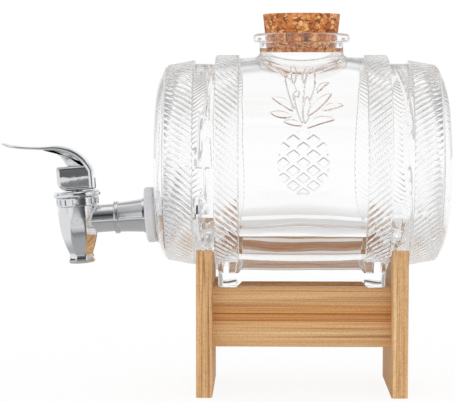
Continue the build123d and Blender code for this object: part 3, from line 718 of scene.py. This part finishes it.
BLOCK_LEFT, BLOCK_RIGHT, BLOCK_LOW, BLOCK_HIGH = -9.7, 10.3, 16.3, 29.5
BLOCK_HALF, BLOCK_ROUND, BLOCK_CROWN, CAM = 6.0, 1.8, 0.25, 5.0
PIN_Z, PIN_HOLE, PIN_REACH, SLOT_HALF, SLOT_LENGTH, SLOT_TOP = 21.3, 1.55, 4.75, 3.3, 6.66, 25.5
PLATE_HALF, PLATE_THICK, BLADE_REACH, KNEE, BLADE_TOP = 6.6, 3.2, 38.6, 11.7, 41.3
ARCH_BACK, BLADE_THICK, BLADE_DISH, TIP_IN, TIP_RISE = 26.5, 1.7, 0.55, 0.5, 3.5
TIP_LENGTH, PLATE_COLUMNS, PLATE_CORNER = 8.0, 40, 0.55
WEB_HALF, WEB_ROUND = 3.4, 0.8

# Rows along the block's outline, and the web's outline away from the plate
BLOCK_FRONT_ROWS, BLOCK_BACK_ROWS = (26.0, 23.6), (19.0, 21.5, 24.0, 26.0)
BLOCK_LOW_ROWS, BLOCK_TOP_ROWS = (-2.0, 1.0, 4.0, 7.0), (8.5, 5.5, 2.5, -0.5, -3.5, -6.0)
WEB_BACK, WEB_UNDER_PLATE = (8.4, 28.5), (-0.9, -1.5)
WEB_FRONT = [(-16.7, 39.7), (-10.8, 38.0), (-7.3, 35.4), (-4.6, 31.0), (-3.2, 28.5)]


def inset(outline, amount):
    """Outline moved inward, for one that turns anticlockwise."""
    outline = np.asarray(outline, float)
    before, after = np.roll(outline, 1, 0), np.roll(outline, -1, 0)

    def unit(rows):
        return rows / np.maximum(np.hypot(*rows.T), 1e-9)[:, None]

    a, b = unit(outline - before), unit(after - outline)
    normal = unit(np.column_stack([-(a + b)[:, 1], (a + b)[:, 0]]))
    lean = np.maximum((normal * np.column_stack([-a[:, 1], a[:, 0]])).sum(1), 0.5)
    return outline + normal * (amount / lean)[:, None]


def rounded_prism(name, outline, half, edge, crown=0.0):
    """Prism across the tap whose end outlines are rounded over. Its end faces curve back by crown
    towards the top and the bottom."""
    up = np.asarray(outline, float)[:, 1]
    low, high = up.min(), up.max()
    face = inset(outline, edge)
    middle = np.mean(face, axis=0)
    side = [(middle + (face - middle) * share, 0.0) for share in (0.05, 0.25, 0.45, 0.65, 0.85, 0.95)]
    side += [(inset(outline, edge * (1 - sin(angle))), edge * (1 - cos(angle)))
             for angle in np.linspace(0, pi / 2, 7)]
    side = [(flat, half - back - crown * ((2 * flat[:, 1] - low - high) / (high - low)) ** 2)
            for flat, back in side]
    return skin(name, [tap_points(flat, -y) for flat, y in side]
                + [tap_points(flat, y) for flat, y in side[::-1]])


def circle_through(a, b, c):
    """Centre and radius of the circle through three points."""
    (ax, ay), (bx, by), (cx, cy) = a, b, c
    aa, bb, cc = ax * ax + ay * ay, bx * bx + by * by, cx * cx + cy * cy
    d = 2 * (ax * (by - cy) + bx * (cy - ay) + cx * (ay - by))
    ox = (aa * (by - cy) + bb * (cy - ay) + cc * (ay - by)) / d
    oy = (aa * (cx - bx) + bb * (ax - cx) + cc * (bx - ax)) / d
    return ox, oy, hypot(ax - ox, ay - oy)


def lever_path():
    """Line along the plate's outer face, tip first."""
    tip, knee = (-BLADE_REACH + TIP_IN, BLADE_TOP + TIP_RISE), (-KNEE, BLADE_TOP)
    middle = ((tip[0] + knee[0]) / 2, BLADE_TOP + 0.7)
    ox, oy, radius = circle_through(tip, middle, knee)
    start, end = (degrees(atan2(z - oy, x - ox)) for x, z in (tip, knee))
    way = (knee[1] - oy, ox - knee[0]) if knee[1] > oy else (oy - knee[1], knee[0] - ox)
    arch = tangent_arc(knee, way, (BLOCK_RIGHT, ARCH_BACK), 26)
    back = [(BLOCK_RIGHT, z) for z in (22.0, 20.0, 18.6, BLOCK_LOW + 1.2)]
    return arc(ox, oy, radius, start, end, 26) + arch[1:] + back


def plate_solid():
    """Spoon-shaped blade that runs into the arched back."""
    path = np.array(lever_path())
    tangent = np.gradient(path, axis=0)
    tangent /= np.hypot(*tangent.T)[:, None]
    inner = np.column_stack([tangent[:, 1], -tangent[:, 0]])
    turn = full_turn(PLATE_COLUMNS)
    c, s = (np.sign(wave) * np.abs(wave) ** PLATE_CORNER for wave in (np.cos(turn), np.sin(turn)))
    rings = []
    for point, normal in zip(path, inner):
        reach = point[0] + BLADE_REACH
        width = PLATE_HALF
        if reach < TIP_LENGTH:
            width *= sqrt(max(0.02, 1 - (1 - reach / TIP_LENGTH) ** 2))
        blade = 1 - smooth_step(point[0], -22.0, -4.0)
        thick = PLATE_THICK - (PLATE_THICK - BLADE_THICK) * blade
        thick *= 0.5 + 0.5 * smooth_step(reach, 0.0, 4.0)
        across = width * c
        deep = thick / 2 * (1 - s)
        dish = BLADE_DISH * blade * (1 - (across / width) ** 2) * (deep < thick / 2)
        rings.append(tap_points(point + np.outer(deep + dish, normal), across))
    return skin("plate", rings)


def lever_solid():
    """Block over the stem, arched plate with a web under it, and the slot and the pin's hole."""
    block = [(BLOCK_LEFT, z) for z in BLOCK_FRONT_ROWS]
    block += arc(BLOCK_LEFT + CAM, PIN_Z, CAM, 180, 270, 10)
    block += [(x, BLOCK_LOW) for x in BLOCK_LOW_ROWS]
    block += arc(BLOCK_RIGHT - 0.4, BLOCK_LOW + 0.4, 0.4, -90, 0, 3)
    block += [(BLOCK_RIGHT - 0.2, z) for z in BLOCK_BACK_ROWS]
    block += [(x, BLOCK_HIGH) for x in BLOCK_TOP_ROWS]
    block += arc(BLOCK_LEFT + 1.2, BLOCK_HIGH - 1.2, 1.2, 90, 180, 4)
    lever = rounded_prism("tap_lever_cast", block, BLOCK_HALF, BLOCK_ROUND, BLOCK_CROWN)
    under_plate = [tuple(np.add(point, WEB_UNDER_PLATE)) for point in lever_path()
                   if point[0] > -16.0 and point[1] > 27.5]
    web = [WEB_BACK] + under_plate[::-1] + WEB_FRONT
    join(lever, rounded_prism("web", web, WEB_HALF, WEB_ROUND))
    join(lever, plate_solid())
    slot = [(-SLOT_LENGTH, BLOCK_LOW - 1), (SLOT_LENGTH, BLOCK_LOW - 1), (SLOT_LENGTH, SLOT_TOP),
            (-SLOT_LENGTH, SLOT_TOP)]
    cut(lever, tap_prism("slot", slot, SLOT_HALF))
    cut(lever, tap_prism("pin_hole", arc(0.0, PIN_Z, PIN_HOLE, 0, 345, 24), PIN_REACH))
    shade(lever, LEVER_SHARP)
    return lever


# Materials

def grey(level):
    return (level,) * 3


class Nodes:
    """Node tree of a material or of the world, with short ways to add its nodes."""

    def __init__(self, tree, coordinates):
        self.nodes, self.links = tree.nodes, tree.links
        self.place = self.nodes.new("ShaderNodeTexCoord").outputs[coordinates]

    def plug(self, socket, value):
        """Link a socket, or set a number, a vector or a colour."""
        if isinstance(value, bpy.types.NodeSocket):
            self.links.new(value, socket)
        else:
            socket.default_value = (*value, 1.0) if socket.type == "RGBA" else value

    def add(self, kind, values, output=0, **settings):
        """Node with its settings and its inputs, by name or number. Gives one output."""
        made = self.nodes.new("ShaderNode" + kind)
        for name, value in settings.items():
            setattr(made, name, value)
        for key, value in values.items():
            self.plug(made.inputs[key], value)
        return made.outputs[output]

    def stretched(self, *scale):
        return self.add("Mapping", {"Vector": self.place, "Scale": scale})

    def noise(self, vector, scale, detail, rough=0.55):
        return self.add("TexNoise", {"Vector": vector, "Scale": scale, "Detail": detail,
                                     "Roughness": rough}, "Fac")

    def ramp(self, value, stops):
        """Colours or grey levels at places from 0 to 1."""
        made = self.nodes.new("ShaderNodeValToRGB")
        elements = made.color_ramp.elements
        while len(elements) < len(stops):
            elements.new(0.5)
        for element, (place, colour) in zip(elements, stops):
            element.position = place
            element.color = (*(colour if isinstance(colour, tuple) else grey(colour)), 1.0)
        self.plug(made.inputs["Fac"], value)
        return made.outputs["Color"]

    def levels(self, value, stops):
        """Grey levels at places of any span."""
        first, last = stops[0][0], stops[-1][0]
        return self.ramp(self.step(value, first, last, smooth=False),
                         [((place - first) / (last - first), level) for place, level in stops])

    def mix(self, share, first, second, blend="MIX"):
        """Mix of two colours."""
        return self.add("Mix", {0: share, 6: first, 7: second}, 2, data_type="RGBA", blend_type=blend)

    def between(self, share, first, second):
        """Number between two others."""
        return self.add("Mix", {0: share, 2: first, 3: second})

    def step(self, value, low, high, at_low=0.0, at_high=1.0, smooth=True):
        """Smooth or straight step of a value between two numbers."""
        return self.add("MapRange", {
            "Value": value, "From Min": low, "From Max": high, "To Min": at_low, "To Max": at_high,
        }, "Result", interpolation_type="SMOOTHSTEP" if smooth else "LINEAR")

    def band(self, value, rise, fall):
        """1 between two steps, given by the places where each starts and ends, and 0 outside."""
        return self.maths("MULTIPLY", self.step(value, *rise), self.step(value, *fall, 1.0, 0.0))

    def maths(self, operation, first, second=0.0):
        return self.add("Math", {0: first, 1: second}, operation=operation)

    def directions(self):
        """The three parts of the coordinates."""
        split = self.nodes.new("ShaderNodeSeparateXYZ")
        self.plug(split.inputs[0], self.place)
        return split.outputs

    def chrome_share(self):
        """1 for the slightly rough reflections of the chrome, 0 for other rays; 1 for any reflection.
        Light on its way to a dull surface counts as neither."""
        path = self.nodes.new("ShaderNodeLightPath").outputs
        reflected = self.maths("SUBTRACT", path["Is Glossy Ray"], path["Diffuse Depth"])
        reflected = self.maths("MAXIMUM", reflected)
        soft = self.maths("SUBTRACT", reflected, path["Is Singular Ray"])
        return self.maths("MAXIMUM", soft), reflected


class Material(Nodes):
    """A material with its Principled shader, whose sockets take the given values."""

    def __init__(self, name, values):
        self.made = bpy.data.materials.new(name)
        self.made.use_nodes = True
        super().__init__(self.made.node_tree, "Object")
        self.shader = self.nodes["Principled BSDF"]
        self.set(values)

    def set(self, values):
        for name, value in values.items():
            self.plug(self.shader.inputs[name], value)

    def bump(self, height, strength, distance):
        made = {"Height": height, "Strength": strength, "Distance": distance}
        self.set({"Normal": self.add("Bump", made)})


def glass_material():
    """Clear glass that lets lamp light through."""
    glass = Material("clear_glass", {"Base Color": (0.996, 0.998, 0.998), "Roughness": 0.0,
                                     "Transmission Weight": 1.0, "IOR": 1.5})
    glass.bump(glass.noise(glass.stretched(1, 1, 1), 38.0, 1.0, 0.4), 0.05, 0.01)
    shadow = glass.nodes.new("ShaderNodeLightPath").outputs["Is Shadow Ray"]
    through = glass.add("BsdfTransparent", {})
    both = glass.add("MixShader", {0: shadow, 1: glass.shader.outputs[0], 2: through})
    glass.links.new(both, glass.nodes["Material Output"].inputs["Surface"])
    return glass.made


def chrome_material():
    chrome = Material("chrome", {"Metallic": 1.0, "Base Color": (0.86, 0.87, 0.89)})
    smear = chrome.noise(chrome.stretched(1, 1, 1), 160.0, 3.0)
    chrome.set({"Roughness": chrome.ramp(smear, [(0.35, 0.04), (0.75, 0.09)])})
    chrome.bump(chrome.noise(chrome.stretched(1, 1, 1), 220.0, 1.0), 0.02, 0.002)
    return chrome.made


def steel_material():
    steel = Material("steel", {"Metallic": 1.0, "Base Color": (0.62, 0.62, 0.63)})
    brushed = steel.noise(steel.stretched(60, 60, 900), 6.0, 3.0)
    steel.set({"Roughness": steel.ramp(brushed, [(0.3, 0.2), (0.7, 0.34)])})
    return steel.made


def silicone_material():
    soft = Material("silicone", {"Roughness": 0.45, "Transmission Weight": 0.15, "IOR": 1.41,
                                 "Subsurface Weight": 0.25, "Subsurface Scale": 0.004})
    cloud = soft.noise(soft.stretched(1, 1, 1), 90.0, 3.0)
    soft.set({"Base Color": soft.ramp(cloud, [(0.3, (0.70, 0.70, 0.715)), (0.7, (0.79, 0.79, 0.805))])})
    soft.bump(soft.noise(soft.stretched(1, 1, 1), 1500.0, 2.0), 0.08, 0.0003)
    return soft.made


CORK_GRAIN, CORK_BEND = 410.0, 0.0016
CORK_TONES = [(0.0, (0.40, 0.105, 0.024)), (0.30, (0.62, 0.205, 0.052)),
              (0.65, (0.80, 0.320, 0.098)), (1.0, (0.98, 0.56, 0.235))]
CORK_SPECKS = [(0.34, (0.55, 0.42, 0.36)), (0.50, 1.0), (0.66, (1.12, 1.10, 1.06))]
CORK_DARK = (0.12, 0.032, 0.010)


def cork_material():
    """Pressed cork: granules of several tones with dark gaps between some of them."""
    cork = Material("cork", {"Roughness": 0.85})
    vector = cork.stretched(1, 1, 1.25)
    bent = cork.add("VectorMath", {0: cork.noise(vector, 420.0, 2.0), 1: grey(CORK_BEND), 2: vector},
                    operation="MULTIPLY_ADD")
    granules = {"Vector": bent, "Scale": CORK_GRAIN}
    tone = cork.add("SeparateColor", {0: cork.add("TexVoronoi", granules, "Color")})
    edges = cork.add("TexVoronoi", granules, "Distance", feature="DISTANCE_TO_EDGE")
    fine = cork.noise(vector, 1300.0, 4.0)
    grain = cork.mix(0.95, cork.ramp(tone, CORK_TONES), cork.ramp(fine, CORK_SPECKS), "MULTIPLY")
    patches = cork.ramp(cork.noise(vector, 260.0, 2.0), [(0.50, 0.25), (0.60, 1.0)])
    crack = cork.mix(patches, (1.0, 1.0, 1.0), cork.ramp(edges, [(0.02, 0.0), (0.14, 1.0)]))
    pits = cork.ramp(cork.noise(vector, 600.0, 2.0), [(0.30, 0.0), (0.345, 1.0)])
    dark = cork.mix(1.0, crack, pits, "MULTIPLY")
    cork.set({"Base Color": cork.mix(dark, CORK_DARK, grain)})
    cork.bump(cork.mix(0.3, dark, fine, "ADD"), 0.8, 0.0004)
    return cork.made


WOOD_TONES = [(0.28, (0.625, 0.343, 0.134)), (0.44, (0.705, 0.417, 0.182)),
              (0.58, (0.770, 0.481, 0.227)), (0.74, (0.865, 0.590, 0.312))]

# Growth lines: place in the noise, half the width, and tint
WOOD_LINES = [(0.370, 0.020, (0.62, 0.42, 0.28)), (0.450, 0.016, (0.46, 0.26, 0.14)),
              (0.530, 0.016, (0.60, 0.40, 0.26)), (0.604, 0.018, (0.48, 0.28, 0.16))]
WOOD_PORES = [(0.34, (0.62, 0.47, 0.35)), (0.50, 1.0), (0.62, 1.0), (0.76, (1.16, 1.14, 1.10))]
WOOD_SPECKS = [(0.36, (0.84, 0.80, 0.76)), (0.5, 1.0), (0.66, 1.08)]
HEART_TINT, HEART_LINES, PLAIN_LINES = (0.93, 0.74, 0.50), (0.7, 1.0), 0.8


def wood_material(name, grain_scale, lines_scale, heart=None):
    """Pale pine with its grain along the board: soft bands, thin reddish growth lines, fine pores.
    heart, a height and half a width in metres, marks a redder streak with more lines."""
    wood = Material(name, {})
    vector = wood.stretched(*grain_scale)
    colour = wood.ramp(wood.noise(vector, 1.0, 3.0, 0.5), WOOD_TONES)
    lines = wood.ramp(wood.noise(wood.stretched(*lines_scale), 1.0, 2.0, 0.5), [
        stop for place, half, tint in WOOD_LINES
        for stop in ((place - half, 1.0), (place, tint), (place + half, 1.0))])
    strength = PLAIN_LINES
    if heart:
        off = wood.maths("ABSOLUTE", wood.maths("SUBTRACT", wood.directions()["Z"], heart[0]))
        streak = wood.step(off, heart[1] * 0.3, heart[1], 1.0, 0.0)
        colour = wood.mix(streak, colour, HEART_TINT, "MULTIPLY")
        strength = wood.between(streak, *HEART_LINES)
    fine = wood.noise(vector, 4.0, 6.0, 0.75)
    specks = wood.noise(wood.stretched(1000.0, 1000.0, 1000.0), 1.0, 3.0, 0.6)
    for share, layer in ((strength, lines), (0.75, wood.ramp(fine, WOOD_PORES)),
                         (0.8, wood.ramp(specks, WOOD_SPECKS))):
        colour = wood.mix(share, colour, layer, "MULTIPLY")
    wood.set({"Base Color": colour, "Roughness": wood.ramp(fine, [(0.3, 0.55), (0.7, 0.42)])})
    wood.bump(fine, 0.3, 0.0003)
    return wood.made


def dress(obj, made):
    obj.data.materials.clear()
    obj.data.materials.append(made)


# Stage

FLOOR_GREY, FLOOR_HALF = 0.12, 3000.0

# Grey of what the glass shows: gaps over the horizon and at both sides, behind the object, the floor
# near it darkened with painted shade, and the room in front. A rise and a fall are where a step starts
# and ends
GAP_UP, GAP_UP_RISE, GAP_UP_FALL = 0.40, (0.20, 0.34), (0.52, 0.70)
GAP_SIDE, GAP_SIDE_RISE, GAP_SIDE_FALL = 0.45, (0.28, 0.42), (0.60, 0.74)
GLASS_FLOOR_SHADE, GLASS_SHADE_NEAR, GLASS_FRONT = 0.62, (0.10, 0.30), 0.93

# Grey levels that the chrome's reflections show: of the floor from front to back, painted light and
# shade, by the place in metres, of the room straight ahead of the object and behind it, by the height
# of the direction, and of the room in front from left to right, with its share by the height of the
# direction
FLOOR_LIGHT_AND_SHADE = [(-1.3, 0.08), (-0.62, 0.13), (-0.46, 0.42), (-0.30, 0.70), (-0.22, 0.42),
                (-0.185, 0.10), (-0.14, 0.30), (0.0, 0.36), (0.2, 0.5), (0.6, 1.0)]
AHEAD = [(0.0, 0.13), (0.16, 0.16), (0.27, 0.12), (0.38, 0.03), (0.54, 0.05), (0.67, 0.17),
         (0.86, 0.30), (0.98, 0.95)]
BEHIND = [(0.0, 1.0), (0.50, 0.80), (0.66, 0.70), (0.82, 0.38), (0.90, 0.38), (0.98, 0.95)]
ACROSS_FRONT = [(-1.0, 0.70), (-0.70, 0.85), (-0.45, 0.92), (-0.2, 0.5), (0.1, 0.20), (0.35, 0.13),
                (0.60, 0.06), (0.78, 0.07), (0.86, 0.75), (1.0, 0.55)]
UPWARD_SHARE = [(0.0, 1.0), (0.34, 0.95), (0.44, 0.6), (0.58, 0.55), (0.72, 0.75), (0.90, 0.8),
                (0.98, 1.0)]
# Painted light on the floor to the left and a painted shadow on it to the right under the barrel, both
# seen only in the chrome's reflections, with where the light's step ends and the shadow's step starts
FLOOR_LEFT_PAINTED_LIGHT, FLOOR_LEFT_LIGHT_ENDS, FLOOR_RIGHT_PAINTED_SHADOW, FLOOR_RIGHT_SHADOW_STARTS = 0.80, (-0.26, -0.19), 0.05, (0.0, 0.06)
SEAM_GREY, SEAM_RISE, SEAM_FALL, SEAM_TOP = 0.03, (0.12, 0.18), (0.30, 0.40), (0.30, 0.50)


def floor_material():
    """Pale paper that camera and diffuse rays see as white. Glass sees it greyer near the object, as
    painted shade, and chrome sees it as a grey table of painted light and shade.
    """
    paper = Material("floor_white", {"Base Color": grey(FLOOR_GREY), "Roughness": 0.9,
                                     "Specular IOR Level": 0.0, "Emission Color": (1.0, 1.0, 1.0)})
    x, y = paper.directions()[:2]
    # Painted light and shade on the floor for the chrome: levels from front to back, brighter to the
    # left, and a painted shadow to the right under the barrel
    level = paper.levels(y, FLOOR_LIGHT_AND_SHADE)
    level = paper.mix(paper.step(x, *FLOOR_LEFT_LIGHT_ENDS, 1.0, 0.0), level, grey(FLOOR_LEFT_PAINTED_LIGHT))
    level = paper.mix(paper.step(x, *FLOOR_RIGHT_SHADOW_STARTS), level, grey(FLOOR_RIGHT_PAINTED_SHADOW))
    chrome, reflected = paper.chrome_share()
    # Painted shade: the floor that glass and reflections show is greyer near the object
    near = paper.step(paper.maths("ABSOLUTE", y), *GLASS_SHADE_NEAR, 1.0, 0.0)
    near = paper.maths("MULTIPLY", near, reflected)
    glow = paper.between(chrome, paper.between(near, 1.0, GLASS_FLOOR_SHADE), level)
    paper.set({"Emission Strength": paper.maths("MULTIPLY", glow, 1.0 - FLOOR_GREY)})
    return paper.made


def make_stage():
    corners = [(x * FLOOR_HALF, y * FLOOR_HALF, 0) for x, y in ((-1, -1), (1, -1), (1, 1), (-1, 1))]
    floor = add_object("floor", corners, [(0, 1, 2, 3)])
    dress(floor, floor_material())


def make_world():
    """White room. Glass shows it with grey gaps behind and above the object and on both sides;
    reflections show it as a studio with a dark front, side lights and dark seams."""
    world = bpy.data.worlds.new("studio")
    bpy.context.scene.world = world
    world.use_nodes = True
    world.node_tree.nodes.clear()
    room = Nodes(world.node_tree, "Generated")
    across, away, up = room.directions()
    side = room.maths("ABSOLUTE", across)
    chrome, reflected = room.chrome_share()

    rear = room.step(away, 0.0, 0.3)
    seen = 1.0
    for gap, grey_level in ((room.band(side, GAP_SIDE_RISE, GAP_SIDE_FALL), GAP_SIDE),
                            (room.band(up, GAP_UP_RISE, GAP_UP_FALL), GAP_UP)):
        seen = room.between(room.maths("MULTIPLY", gap, rear), seen, grey_level)
    facing = room.maths("MULTIPLY", reflected, room.step(away, -0.2, 0.0, 1.0, 0.0))
    seen = room.between(facing, seen, GLASS_FRONT)

    front = room.mix(1.0, room.levels(across, ACROSS_FRONT), room.levels(up, UPWARD_SHARE), "MULTIPLY")
    front = room.mix(room.step(side, 0.16, 0.26), room.levels(up, AHEAD), front)
    mirrored = room.mix(room.step(away, -0.1, 0.1), front, room.levels(up, BEHIND))
    seam = room.maths("MULTIPLY", room.band(away, SEAM_RISE, SEAM_FALL),
                      room.step(up, *SEAM_TOP, 1.0, 0.0))
    mirrored = room.mix(seam, mirrored, grey(SEAM_GREY))

    path = room.nodes.new("ShaderNodeLightPath").outputs
    plain = room.maths("MAXIMUM", path["Is Camera Ray"], path["Diffuse Depth"])
    colour = room.mix(plain, room.mix(chrome, seen, mirrored), (1.0, 1.0, 1.0))
    light = room.add("Background", {"Color": colour})
    room.links.new(light, room.nodes.new("ShaderNodeOutputWorld").inputs["Surface"])


# Camera: the picture's width in pixels, millimetres to a pixel at the object, the sensor's width, the
# camera's place, and the place that it is turned towards

IMAGE_WIDE, PIXEL, SENSOR = 455, 0.5384, 36.0
CAMERA, VIEW_CENTRE = (21.4, -930.0, 165.3), (1.8, 0.0, 100.9)


def make_camera():
    """Camera a little above and to the right of the object's middle, turned towards it."""
    data = bpy.data.cameras.new("camera")
    camera = bpy.data.objects.new("camera", data)
    bpy.context.scene.collection.objects.link(camera)
    bpy.context.scene.camera = camera
    camera.location = Vector(CAMERA) * MM
    camera.rotation_euler = (Vector(VIEW_CENTRE) - Vector(CAMERA)).to_track_quat("-Z", "Y").to_euler()
    data.sensor_width = SENSOR
    data.lens = SENSOR * -CAMERA[1] / (IMAGE_WIDE * PIXEL)
    data.clip_start, data.clip_end = 0.01, 100.0


# Put together

replacing = [
    (glass_solid(), "glass_barrel", "barrel", "clear_glass"),
    (cork_solid(), "cork_stopper", "cork", "cork"),
    (body_solid(), "tap_body", "barrel", "chrome"),
    (bonnet_solid(), "tap_bonnet", "barrel", "chrome"),
    (shank_solid(), "tap_shank", "barrel", "chrome"),
    (nut_solid(), "tap_nut", "barrel", "chrome"),
    (ring_solid("outer_gasket_soft", 36.4, 41.7, 14.9, 1.4), "outer_gasket", "barrel", "silicone"),
    (ring_solid("inner_gasket_soft", 47.5, 50.5, 13.0, 0.7), "inner_gasket", "barrel", "silicone"),
    (cup_solid(), "seat_cup", "barrel", "silicone"),
    (spring_solid(), "return_spring", "barrel", "steel"),
    (lever_solid(), "tap_lever", "lever", "chrome"),
]
finishes = {
    "clear_glass": glass_material(), "cork": cork_material(), "chrome": chrome_material(),
    "silicone": silicone_material(), "steel": steel_material(),
}
for piece, node, rides_on, slot_name in replacing:
    dress(piece, finishes[slot_name])
    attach(piece, rides_on)
    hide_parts(node)

across_grain = wood_material("wood_rail", (2.5, 260.0, 330.0), (0.8, 90.0, 190.0), (0.0425, 0.007))
upright_grain = wood_material("wood_leg", (380.0, 380.0, 14.0), (150.0, 90.0, 2.0))
for made, nodes in (
        (across_grain, ("front_rail", "rear_rail", "front_rail_dowels", "rear_rail_dowels")),
        (upright_grain, ("left_leg", "right_leg")),
        (finishes["steel"], ("valve_stem", "lever_pin"))):
    for node in nodes:
        dress(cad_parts[node], made)

for name, keep in (("seat_cup_soft", 0.8856), ("return_spring_coil", 0.8626)):
    piece = bpy.data.objects[name]
    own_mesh(piece)

make_stage()
make_world()
make_camera()
bounces = bpy.context.scene.cycles
bounces.max_bounces, bounces.glossy_bounces, bounces.transmission_bounces = 32, 24, 32
bpy.context.scene.view_settings.view_transform = "Standard"
